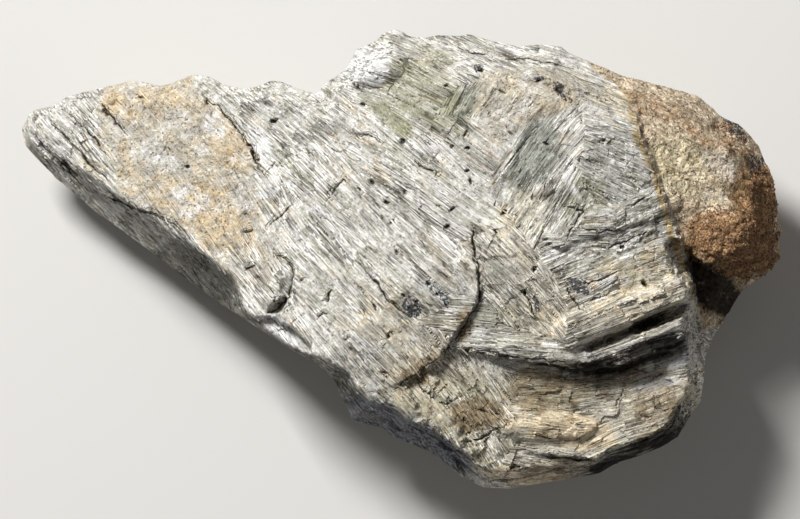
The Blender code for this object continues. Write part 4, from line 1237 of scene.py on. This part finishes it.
# each pair of colours is the dark and the light of one finish
crystal = {
    "dark": (112, 108, 98),
    "middle": (182, 179, 170),
    "pale": (238, 236, 231),
    # where in the tint each tinge sets in and is full
    "tinges": [
        ((0.54, 0.68), (248, 238, 224)),
        ((0.46, 0.34), (236, 237, 226)),
        ((0.38, 0.3), (222, 222, 220)),
    ],
    "slit": (62, 57, 46),
    # painted shade in the cores of cracks, in pits and in open joints
    "crack": (26, 23, 19),
    # painted shade on the walls of cracks, and the colour of the crust's fine seams
    "crackSide": (82, 72, 54),
    "glint": (250, 249, 246),
    "crease": (58, 40, 24),
    # each stain and each painted shade: size of its mottling per metre, softness, strength, dark colour,
    # light colour
    "stainsAndShade": {
        "buff": (300.0, 0.45, 0.75, (114, 105, 83), (236, 226, 202)),
        "olive": (260.0, 0.4, 0.88, (92, 92, 68), (164, 163, 131)),
        "slate": (260.0, 0.35, 0.88, (76, 79, 72), (154, 156, 144)),
        "ochre": (420.0, 0.32, 0.78, (176, 148, 106), (250, 233, 200)),
        "umber": (420.0, 0.35, 0.85, (84, 70, 50), (164, 144, 112)),
        # painted shade on the steep sides and the underside
        "wall": (300.0, 0.3, 0.92, (28, 28, 24), (138, 137, 127)),
        "chalk": (520.0, 0.22, 0.85, (192, 189, 184), (240, 239, 237)),
        # painted shade in dark blue-grey along the dark side
        "paintedSideShade": (400.0, 0.35, 0.9, (18, 19, 23), (150, 154, 161)),
        # painted shadow in the groove, under the logs and ledges and in the hollow under the shoulder
        "paintedShadow": (500.0, 0.35, 0.94, (10, 9, 8), (36, 32, 26)),
    },
    "lateStainsAndShade": ("chalk", "paintedShadow"),  # laid over the crust: chalk, then the painted shadow
    "wingCrust": ((146, 138, 124), (222, 215, 200)),
    "wingCrustWarm": (222, 196, 150),
    "greyCrust": ((122, 118, 110), (200, 197, 190)),
    "ochreCrust": ((178, 146, 98), (234, 214, 176)),
    "whiteCrust": ((196, 190, 180), (240, 237, 231)),
    "shoulderCrust": ((112, 88, 62), (240, 222, 194)),
    "shoulderStains": {
        "mustard": (700.0, 0.35, 0.8, (186, 166, 122), (248, 237, 206)),
        "pearl": (600.0, 0.3, 0.75, (176, 166, 152), (236, 230, 220)),
        "rust": (500.0, 0.3, 0.85, (50, 35, 20), (208, 162, 112)),
    },
    "tanStripe": ((136, 116, 80), (206, 184, 142)),
    # dark patches, then the pale of the painted glints among them
    "sooty": ((24, 26, 33), (186, 189, 196)),
    # size of the mottling per metre, and softness
    "edges": {"crust": (350.0, 0.3), "ochre": (420.0, 0.32), "sooty": (1000.0, 0.06)},
    # noises: repeats per metre, detail, roughness, distortion
    "noises": {
        "plates": (120.0, 4.0, 0.65),
        "plain": (1500.0, 4.0, 0.8),
        "blotch": (330.0, 5.0, 0.7),
        "warm": (210.0, 3.0, 0.6),
        "patches": (170.0, 5.0, 0.68, 0.4),
        "seam": (260.0, 5.0, 0.6, 0.8),
        "ragged": (1100.0, 2.0),
    },
    # where each share starts and is full, and its value there
    "plates": (0.48, 0.6, 0.0, 0.7),
    "plain": (0.36, 0.64, 0.2, 1.05),
    "warm": (0.42, 0.62, 0.0, 0.45),
    "greyPatch": (0.5, 0.4, 0.0, 0.6),
    "whitePatch": (0.53, 0.6, 0.0, 0.8),
    "seam": (0.012, 0.003, 0.0, 0.5),
    "darkSpeck": (0.12, 0.18, 0.42, 1.0),
    "paleSpeck": (0.8, 0.86, 0.0, 0.32),
    "sootyGlint": (0.8, 0.95),
    "shoulderBlotch": (0.35, 0.65),
    # the next four set where the painted shade beside and in cracks, in pits and in open joints begins and is
    # full
    "crackSideReach": (1.3, 0.5, 0.0, 0.6),
    "crackReach": (0.55, 0.3),
    "pitEdge": (0.3, 0.6),
    "gloomEdge": (0.35, 1.0),
    "dullEdge": (0.1, 0.7),
    # how far each mark covers what lies under it
    "cover": {
        "crust": 0.85, "ochreCrust": 0.6, "tanStripe": 0.9, "soot": 0.85,
        "pore": 0.6, "glint": 0.7, "hollow": 0.9, "crustOnFibres": 0.8,
    },
    # what is left of each on crust and on fibres
    "left": {
        "slit": (0.15, 0.75), "fleck": (0.3, 0.75),
        "fibreHeight": (0.25, 1.0), "crustHeight": (0.7, 0.08),
    },
    "blotchReach": 1.1,
    "raggedReach": 0.9,
    "creaseShare": (0.5, 0.1),  # where the shoulder is dark, and where it is pale
    "streaks": (0.45, 0.35, 0.3),  # how much crust, fibres and blotches count on the shoulder
    "looseLight": (0.45, 0.6),  # how much the grain and the tone count on loose blades
    "looseGlint": 0.6,
    "looseHeight": 0.4,
    "grainSize": 900.0,  # crust grains per metre
    "speckSize": 2900.0,  # specks per metre
    "shine": 0.15,
    "roughness": (0.38, 0.7),
    "crustRoughness": 0.85,
    "fibreHeight": 0.00055,
    "crustHeight": 0.0009,
}


def fibreOutputs(sheet, fibreGrain):
    fibre, tone = sheet.attribute("fibre", "Vector"), sheet.attribute("tone")
    return placeGroup(sheet, fibreGrain, Fibre=fibre, Tone=tone)


def fibreColour(sheet, light, tint, spec):
    # dark to middle to pale, tinged with cream and grey
    colour = sheet.shade(sheet.ramp(light, 0.0, 0.5), (spec["dark"], spec["middle"]))
    colour = sheet.over(colour, sheet.ramp(light, 0.5, 1.0), spec["pale"])
    for (low, high), tinge in spec["tinges"]:
        colour = sheet.mix(sheet.ramp(tint, low, high), colour, toLinear(*tinge), "MULTIPLY")
    return colour


def stainMask(sheet, stainEdge, position, name, size, softness):
    stain = sheet.attribute(name)
    return placeGroup(sheet, stainEdge, Stain=stain, Position=position, Size=size, Softness=softness)["Mask"]


def addStainOrShade(sheet, colour, stainEdge, position, light, name, size, softness, strength, *shades):
    share = sheet.times(stainMask(sheet, stainEdge, position, name, size, softness), strength)
    return sheet.mix(share, colour, sheet.shade(light, shades))


def crustColour(sheet, light, noises, ochre, spec):
    # warm and grey mottling with ochre, white patches and fine dark seams
    colour = sheet.shade(light, spec["wingCrust"])
    grey, white = (sheet.ramp(noises["patches"], *spec[key]) for key in ("greyPatch", "whitePatch"))
    colour = sheet.mix(grey, colour, sheet.shade(light, spec["greyCrust"]))
    colour = sheet.over(colour, sheet.ramp(noises["warm"], *spec["warm"]), spec["wingCrustWarm"])
    ochre = sheet.times(ochre, spec["cover"]["ochreCrust"])
    colour = sheet.mix(ochre, colour, sheet.shade(light, spec["ochreCrust"]))
    colour = sheet.mix(white, colour, sheet.shade(light, spec["whiteCrust"]))
    seam = sheet.ramp(sheet.math("ABSOLUTE", sheet.centred(noises["seam"])), *spec["seam"])
    return sheet.over(colour, seam, spec["crackSide"])


def makeCrystalMaterial(name, fibreGrain, crustGrain, stainEdge, spec):
    material, sheet, surface = newMaterial(name)
    position = sheet.node("ShaderNodeTexCoord").outputs["Object"]
    noises = {key: sheet.noise(position, *values) for key, values in spec["noises"].items()}
    masks = {key: stainMask(sheet, stainEdge, position, key, *given) for key, given in spec["edges"].items()}
    cover, left = spec["cover"], spec["left"]
    grain = fibreOutputs(sheet, fibreGrain)
    crusty = placeGroup(sheet, crustGrain, Position=position, Size=spec["grainSize"])
    onShoulder = sheet.attribute("shoulder")
    fibrous = sheet.restOf(sheet.most(onShoulder, sheet.times(masks["crust"], cover["crustOnFibres"])))

    def layStainsAndShade(colour, light, stainsAndShade, wanted):
        for stain in wanted:
            colour = addStainOrShade(sheet, colour, stainEdge, position, light, stain, *stainsAndShade[stain])
        return colour

    # fibres, with grainy plates among them
    plates, plain = (sheet.ramp(noises[key], *spec[key]) for key in ("plates", "plain"))
    unlined = sheet.restOf(plates)
    plainer = sheet.math("SUBTRACT", plain, grain["Light"])
    light = sheet.math("MULTIPLY_ADD", plainer, plates, grain["Light"])
    light = sheet.math("MULTIPLY_ADD", sheet.centred(noises["blotch"]), spec["blotchReach"], light)
    early = [stain for stain in spec["stainsAndShade"] if stain not in spec["lateStainsAndShade"]]
    colour = layStainsAndShade(fibreColour(sheet, light, grain["Tint"], spec), light, spec["stainsAndShade"], early)

    # crust of the wing and the top
    mottled = crustColour(sheet, crusty["Light"], noises, masks["ochre"], spec)
    colour = sheet.mix(sheet.times(masks["crust"], cover["crust"]), colour, mottled)
    colour = layStainsAndShade(colour, light, spec["stainsAndShade"], ["chalk"])

    # crust of the shoulder
    blotch = sheet.ramp(noises["blotch"], *spec["shoulderBlotch"])
    streaks = sheet.total(*zip((crusty["Light"], light, blotch), spec["streaks"]))
    brown = sheet.shade(streaks, spec["shoulderCrust"])
    brown = layStainsAndShade(brown, streaks, spec["shoulderStains"], spec["shoulderStains"])
    crease = sheet.times(sheet.restOf(crusty["Wrinkle"]), sheet.span(blotch, *spec["creaseShare"]))
    colour = sheet.mix(onShoulder, colour, sheet.over(brown, crease, spec["crease"]))
    stripe = sheet.times(sheet.attribute("tanStripe"), cover["tanStripe"])
    colour = sheet.mix(stripe, colour, sheet.shade(light, spec["tanStripe"]))

    # slits, flecks and specks
    slit = sheet.times(sheet.times(grain["Slit"], sheet.span(fibrous, *left["slit"])), unlined)
    fleck = sheet.times(grain["Fleck"], sheet.span(fibrous, *left["fleck"]))
    colour = sheet.over(sheet.over(colour, slit, spec["slit"]), fleck, spec["slit"])
    speck = sheet.cellValue(sheet.cells(position, spec["speckSize"]))
    # painted glints: pale specks in the dark patches
    sooty = sheet.shade(sheet.ramp(speck, *spec["sootyGlint"]), spec["sooty"])
    speck = sheet.mix(sheet.times(fibrous, unlined), speck, grain["Grit"])
    grit = sheet.math("ADD", *(sheet.ramp(speck, *spec[key]) for key in ("darkSpeck", "paleSpeck")))
    colour = sheet.mix(1.0, colour, grit, "MULTIPLY")
    colour = sheet.mix(sheet.times(masks["sooty"], cover["soot"]), colour, sooty)
    pore = sheet.times(crusty["Pore"], sheet.restOf(fibrous))
    colour = sheet.over(colour, sheet.times(pore, cover["pore"]), spec["slit"])
    glint = sheet.times(grain["Glint"], sheet.times(fibrous, cover["glint"]))
    colour = sheet.over(colour, glint, spec["glint"])

    # painted shadow, then painted shade in hollows, cracks, pits and open joints
    colour = layStainsAndShade(colour, light, spec["stainsAndShade"], ["paintedShadow"])
    ragged = sheet.times(sheet.centred(noises["ragged"]), spec["raggedReach"])
    away = sheet.math("ADD", sheet.math("ABSOLUTE", sheet.attribute("crack")), ragged)
    colour = sheet.over(colour, sheet.ramp(away, *spec["crackSideReach"]), spec["crackSide"])
    crack = sheet.ramp(away, *spec["crackReach"])
    pit = sheet.ramp(sheet.math("ADD", sheet.attribute("pit"), ragged), *spec["pitEdge"])
    gloom = sheet.ramp(sheet.attribute("gloom"), *spec["gloomEdge"])
    hollow = sheet.times(sheet.most(crack, pit, gloom), cover["hollow"])
    sheet.put(surface.inputs["Base Color"], sheet.over(colour, hollow, spec["crack"]))

    # gloss and relief
    surface.inputs["Specular IOR Level"].default_value = spec["shine"]
    glossy, rough = spec["roughness"]
    rough = sheet.span(fibrous, spec["crustRoughness"], sheet.span(light, rough, glossy))
    dull = sheet.most(*(sheet.attribute(stain) for stain in ("wall", "paintedSideShade", "paintedShadow")))
    sheet.put(surface.inputs["Roughness"], sheet.ramp(dull, *spec["dullEdge"], rough, 1.0))
    fibreHeight = sheet.times(grain["Height"], sheet.span(fibrous, *left["fibreHeight"]))
    crustHeight = sheet.times(crusty["Height"], sheet.span(fibrous, *left["crustHeight"]))
    normal = sheet.bump(spec["crustHeight"], crustHeight, sheet.bump(spec["fibreHeight"], fibreHeight))
    sheet.put(surface.inputs["Normal"], normal)
    return material


def makeLooseBladeMaterial(name, fibreGrain, stainEdge, spec):
    material, sheet, surface = newMaterial(name)
    position = sheet.node("ShaderNodeTexCoord").outputs["Object"]
    grain = fibreOutputs(sheet, fibreGrain)
    light = sheet.total(*zip((grain["Light"], sheet.attribute("tone")), spec["looseLight"]))
    colour = fibreColour(sheet, light, grain["Tint"], spec)
    # stains, and the painted shade of the sides, the dark side and the hollows
    for stain, values in spec["stainsAndShade"].items():
        colour = addStainOrShade(sheet, colour, stainEdge, position, light, stain, *values)
    colour = sheet.over(colour, sheet.times(grain["Glint"], spec["looseGlint"]), spec["glint"])
    sheet.put(surface.inputs["Base Color"], colour)
    glossy, rough = spec["roughness"]
    sheet.put(surface.inputs["Roughness"], sheet.span(light, rough, glossy))
    height = spec["fibreHeight"] * spec["looseHeight"]
    sheet.put(surface.inputs["Normal"], sheet.bump(height, grain["Height"]))
    return material


# loose blades: thin slivers that lie along the blades and stand a hair proud of them

slivers = {
    "name": "looseBlades",
    "count": 1000,
    "length": (1.2, 4.5),
    "width": (0.16, 0.4),
    "widening": (0.6, 8),  # longer ones are wider: least share, and the length that adds one more
    "height": (0.3, 0.42),
    "lift": (-1.0, 1.6),  # degrees
    "sink": (0.1, 0.24),  # depth of the sliver's middle below the surface
    "astray": 2.5,  # degrees
    "edge": 1.5,  # none closer than this to the rim
    "crackReach": 1.5,  # nor closer than this many half widths to a crack
    "steepest": -0.2,  # nor on faces that point further down than this
    "flatShare": 0.3,
    "patches": (6.0, 0.4, 1.5),  # size of the places that have more of them, and their range
    "patchShare": 0.2,
    "faceShare": 0.5,  # how much the single face counts in the way up
    "lean": 20.0,  # degrees
    "narrow": (0.2, 0.9),
    "skew": 0.1,
    "topWidth": 0.6,
    "pattern": 90.0,  # how far apart they lie in the blades' pattern
}


def polygonPlaces(mesh):
    area = np.empty(len(mesh.polygons))
    mesh.polygons.foreach_get("area", area)
    return area, threes(mesh.polygons, "center"), threes(mesh.polygons, "normal")


def scattered(name, shape, faces, places):
    # one mesh made of many small copies
    mesh = bpy.data.meshes.new(name)
    offsets = np.arange(len(places))[:, None, None] * len(shape)
    mesh.from_pydata(places.reshape(-1, 3), [], (faces[None] + offsets).reshape(-1, 3))
    return newObject(name, mesh), mesh


def unitShape(maker, **settings):
    work = bmesh.new()
    maker(work, **settings)
    bmesh.ops.triangulate(work, faces=work.faces[:])
    shape = np.array([vertex.co[:] for vertex in work.verts])
    faces = np.array([[vertex.index for vertex in face.verts] for face in work.faces])
    work.free()
    return shape, faces


def mainNormal(places, rim):
    # slope of the lump's main shape, ignoring its blades
    step, steepest = 1.0, 2
    x, y = places[:, 0], places[:, 1]
    here = bigShape(x, y, lump, rim)[0]
    slopes = [(bigShape(x + dx, y + dy, lump, rim)[0] - here) / step for dx, dy in ((step, 0), (0, step))]
    return unit(np.stack([*(-np.clip(slope, -steepest, steepest) for slope in slopes), np.ones(len(x))], 1))


def sliverChance(area, centre, normal, rim, spec):
    # how likely each face of the lump is to carry a sliver
    inward = rimAt(centre[:, 0], centre[:, 1], rim, lump["levelling"])[0]
    upward = normal[:, 2]
    chance = area * (spec["flatShare"] + np.clip(upward, 0, 1)) * (upward > spec["steepest"])
    chance *= inward > spec["edge"]
    chance *= (1 - crustShare(centre)) * (np.abs(crackField(centre, breaks)[1]) > spec["crackReach"])
    size, base, most = spec["patches"]
    chance *= spec["patchShare"] + np.clip(softNoise(centre, size, 101) + base, 0, most)
    return chance / chance.sum()


def sliverAxes(rng, turn, up, spec):
    # three directions for each sliver: along, across and up, each turned a little its own way
    count = len(turn)
    along, _, _ = bladeAxes(turn + rng.integers(0, 2, count) * 180)
    along = unit(along - up * (along * up).sum(1)[:, None])
    pitch = np.radians(rng.uniform(*spec["lift"], count))[:, None]
    lifted = along * np.cos(pitch) + up * np.sin(pitch)
    upright = up * np.cos(pitch) - along * np.sin(pitch)
    side = np.cross(upright, lifted)
    lean = np.radians(rng.uniform(-spec["lean"], spec["lean"], count))[:, None]
    c, s = np.cos(lean), np.sin(lean)
    return lifted, side * c - upright * s, upright * c + side * s


def sliverShapes(rng, count, shape, spec):
    # tapered bars with a slanting tip, flat on their own axes
    shortest, longest = spec["length"]
    length = shortest + (longest - shortest) * rng.random(count) ** 2
    least, longer = spec["widening"]
    width = np.clip(rng.uniform(*spec["width"], count) * (least + length / longer), *spec["width"])
    height = rng.uniform(*spec["height"], count)
    tip = shape[:, 0] > 0
    shapes = np.repeat(shape[None], count, axis=0)
    narrow = rng.uniform(*spec["narrow"], count)[:, None]
    skew = rng.uniform(-spec["skew"], spec["skew"], (count, 1))
    shapes[:, :, 1] *= np.where(tip, narrow, 1) * np.where(shape[:, 2] > 0, spec["topWidth"], 1)
    shapes[:, :, 0] += np.where(tip, skew * np.sign(shape[:, 1]), 0)
    return shapes * np.stack([length, width, height], 1)[:, None, :]


def makeSlivers(spec, mesh, carved, nearest, rim):
    rng = np.random.default_rng(7)
    area, centre, normal = polygonPlaces(mesh)
    count = spec["count"]
    chance = sliverChance(area, centre, normal, rim, spec)
    picked = rng.choice(len(area), count, replace=False, p=chance)
    turn = carved["turn"][nearest[picked]] + rng.normal(0, spec["astray"], count)
    up = unit(normal[picked] * spec["faceShare"] + mainNormal(centre[picked], rim))
    axes = sliverAxes(rng, turn, up, spec)
    shape, faces = unitShape(bmesh.ops.create_cube, size=1.0)
    shapes = sliverShapes(rng, count, shape, spec)
    start = centre[picked] - up * rng.uniform(*spec["sink"], count)[:, None]
    places = start[:, None]
    for index, axis in enumerate(axes):
        places = places + shapes[:, :, index, None] * axis[:, None]
    obj, made = scattered(spec["name"], shape, faces, places)
    apart = rng.uniform(0, spec["pattern"], (count, 3))
    addValues(made, "fibre", shapes.reshape(-1, 3) + np.repeat(apart, len(shape), axis=0), "FLOAT_VECTOR")
    addValues(made, "tone", np.repeat(rng.random(count), len(shape)))
    # painted shade of the sides, as on the lump
    addValues(made, "wall", np.clip(bigShape(*places.reshape(-1, 3)[:, :2].T, lump, rim)[2], 0, 1))
    addStainsAndShade(made, np.repeat(centre[picked], len(shape), axis=0))
    return obj


# granules of rusty crust on the shoulder

granules = {
    "name": "crustGranules",
    "count": 4200,
    "size": (0.2, 0.6),
    "unevenSize": (0.7, 1.2),
    "bumpy": 0.25,
    "flattened": 0.8,
    "least": 0.25,  # none where the granular share is below this
    "steepest": -0.2,
    "bare": (2.5, -0.3),  # size of the bare places among them, and the noise below which it is bare
    "colours": ((58, 40, 24), (146, 108, 72), (208, 172, 132)),
    "roughness": 0.85,
    "light": (0.7, 0.4),  # how much the tone and the grain count
    "middle": (0.0, 0.5),  # where the middle and the pale colour set in and are full
    "pale": (0.6, 1.05),
    "grain": 2400.0,  # grains per metre
    "height": 0.0003,
}


def makeGranules(spec, mesh):
    rng = np.random.default_rng(19)
    area, centre, normal = polygonPlaces(mesh)
    bareSize, bareBelow = spec["bare"]
    chance = area * np.clip(grainShare(centre) - spec["least"], 0, 1)
    chance *= (normal[:, 2] > spec["steepest"]) * (softNoise(centre, bareSize, 102) > bareBelow)
    count = spec["count"]
    picked = rng.choice(len(area), count, replace=False, p=chance / chance.sum())
    shape, faces = unitShape(bmesh.ops.create_icosphere, subdivisions=1, radius=0.5)
    size = rng.uniform(*spec["size"], (count, 1, 1)) * rng.uniform(*spec["unevenSize"], (count, 1, 3))
    shapes = shape[None] * (1 + rng.uniform(-spec["bumpy"], spec["bumpy"], (count, len(shape), 1))) * size
    angle = rng.uniform(0, 2 * math.pi, (count, 1))
    c, s = np.cos(angle), np.sin(angle)
    x, y, z = np.moveaxis(shapes, -1, 0)
    turned = np.stack([x * c - y * s, x * s + y * c, z * spec["flattened"]], -1)
    obj, made = scattered(spec["name"], shape, faces, centre[picked][:, None] + turned)
    addValues(made, "tone", np.repeat(rng.random(count), len(shape)))
    return obj


def makeGranuleMaterial(name, crustGrain, spec):
    material, sheet, surface = newMaterial(name)
    position = sheet.node("ShaderNodeTexCoord").outputs["Object"]
    grain = placeGroup(sheet, crustGrain, Position=position, Size=spec["grain"])
    light = sheet.total(*zip((sheet.attribute("tone"), grain["Light"]), spec["light"]))
    *darker, pale = spec["colours"]
    colour = sheet.shade(sheet.ramp(light, *spec["middle"]), darker)
    sheet.put(surface.inputs["Base Color"], sheet.over(colour, sheet.ramp(light, *spec["pale"]), pale))
    surface.inputs["Roughness"].default_value = spec["roughness"]
    sheet.put(surface.inputs["Normal"], sheet.bump(spec["height"], grain["Height"]))
    return material


def toMetres(obj, low, high, box):
    # from millimetres to metres, its plan fitted to the box
    places = coordinates(obj.data)
    boxLow, boxHigh = np.array(box[0]), np.array(box[1])
    share = np.clip((places[:, :2] - low) / (high - low), 0, 1)
    places[:, :2] = boxLow[:2] + share * (boxHigh[:2] - boxLow[:2])
    places[:, 2] = np.clip(places[:, 2] * mm, 0, boxHigh[2])
    moveTo(obj.data, places)


print("shaping the lump")
rim = rimTable(lump)
body = lumpBody(lump, rim)
print("carving blades:", len(body.data.vertices), "points")
carved = carveBlades(body, blades, rim)
sliceLevel(body)
thinOut(body, lump)
print("thinned to", len(body.data.polygons), "triangles")
nearest = addSurfaceValues(body.data, carved, rim)
print("laying loose blades and granules")
loose = makeSlivers(slivers, body.data, carved, nearest, rim)
crumbs = makeGranules(granules, body.data)

outline = coordinates(body.data)[:, :2]
for piece in (body, loose, crumbs):
    toMetres(piece, outline.min(0), outline.max(0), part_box("wollastonite_specimen"))
body.data.shade_smooth()
body.data.set_sharp_from_angle(angle=math.radians(lump["crease"]))

print("making materials")
fibreGrain = makeFibreGrain(fibres)
crustGrain = makeCrustGrain(crusts)
stainEdge = makeStainEdge(edge)
finishes = {
    body: makeCrystalMaterial("bladed wollastonite", fibreGrain, crustGrain, stainEdge, crystal),
    loose: makeLooseBladeMaterial("loose wollastonite blade", fibreGrain, stainEdge, crystal),
    crumbs: makeGranuleMaterial("rusty crust granule", crustGrain, granules),
}
for piece, finish in finishes.items():
    piece.data.materials.clear()
    piece.data.materials.append(finish)
    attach(piece, "root")
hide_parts("wollastonite_specimen")

# floor, lights and camera

studio = {
    "floor": (206, 204, 200),
    "floorSize": 6.0,
    "floorRoughness": 0.9,
    "world": 0.12,
    "key": {"place": (-0.55, 0.80, 1.10), "size": 0.32, "power": 32.0},
    "fill": {"place": (0.9, -0.5, 0.8), "size": 1.0, "power": 1.0},
    "lens": 500.0,
    "view": 0.160,  # width seen at the lump's mid height, in metres
    "midHeight": 0.025,
    "middle": (-0.0003, 0.0),
}


def makeStudio(spec):
    bpy.ops.mesh.primitive_plane_add(size=spec["floorSize"], location=(0, 0, 0))
    floor = bpy.context.active_object
    floor.name = "floor"
    paper, _, surface = newMaterial("floor paper")
    surface.inputs["Base Color"].default_value = toLinear(*spec["floor"])
    surface.inputs["Roughness"].default_value = spec["floorRoughness"]
    floor.data.materials.append(paper)
    for name in ("key", "fill"):
        light = bpy.data.lights.new(name, "AREA")
        light.size = spec[name]["size"]
        light.energy = spec[name]["power"]
        lamp = newObject(name, light)
        lamp.location = spec[name]["place"]
        lamp.rotation_euler = (-lamp.location).to_track_quat("-Z", "Y").to_euler()
    world = bpy.data.worlds.new("studio")
    world.use_nodes = True
    sky = world.node_tree.nodes["Background"]
    sky.inputs["Color"].default_value = (1, 1, 1, 1)
    sky.inputs["Strength"].default_value = spec["world"]
    bpy.context.scene.world = world
    camera = bpy.data.cameras.new("camera")
    camera.lens = spec["lens"]
    camera.clip_start = 0.01
    viewer = newObject("camera", camera)
    distance = spec["view"] * spec["lens"] / camera.sensor_width
    viewer.location = (*spec["middle"], spec["midHeight"] + distance)
    bpy.context.scene.camera = viewer
    bpy.context.scene.view_settings.view_transform = "Standard"


makeStudio(studio)
print("finished")
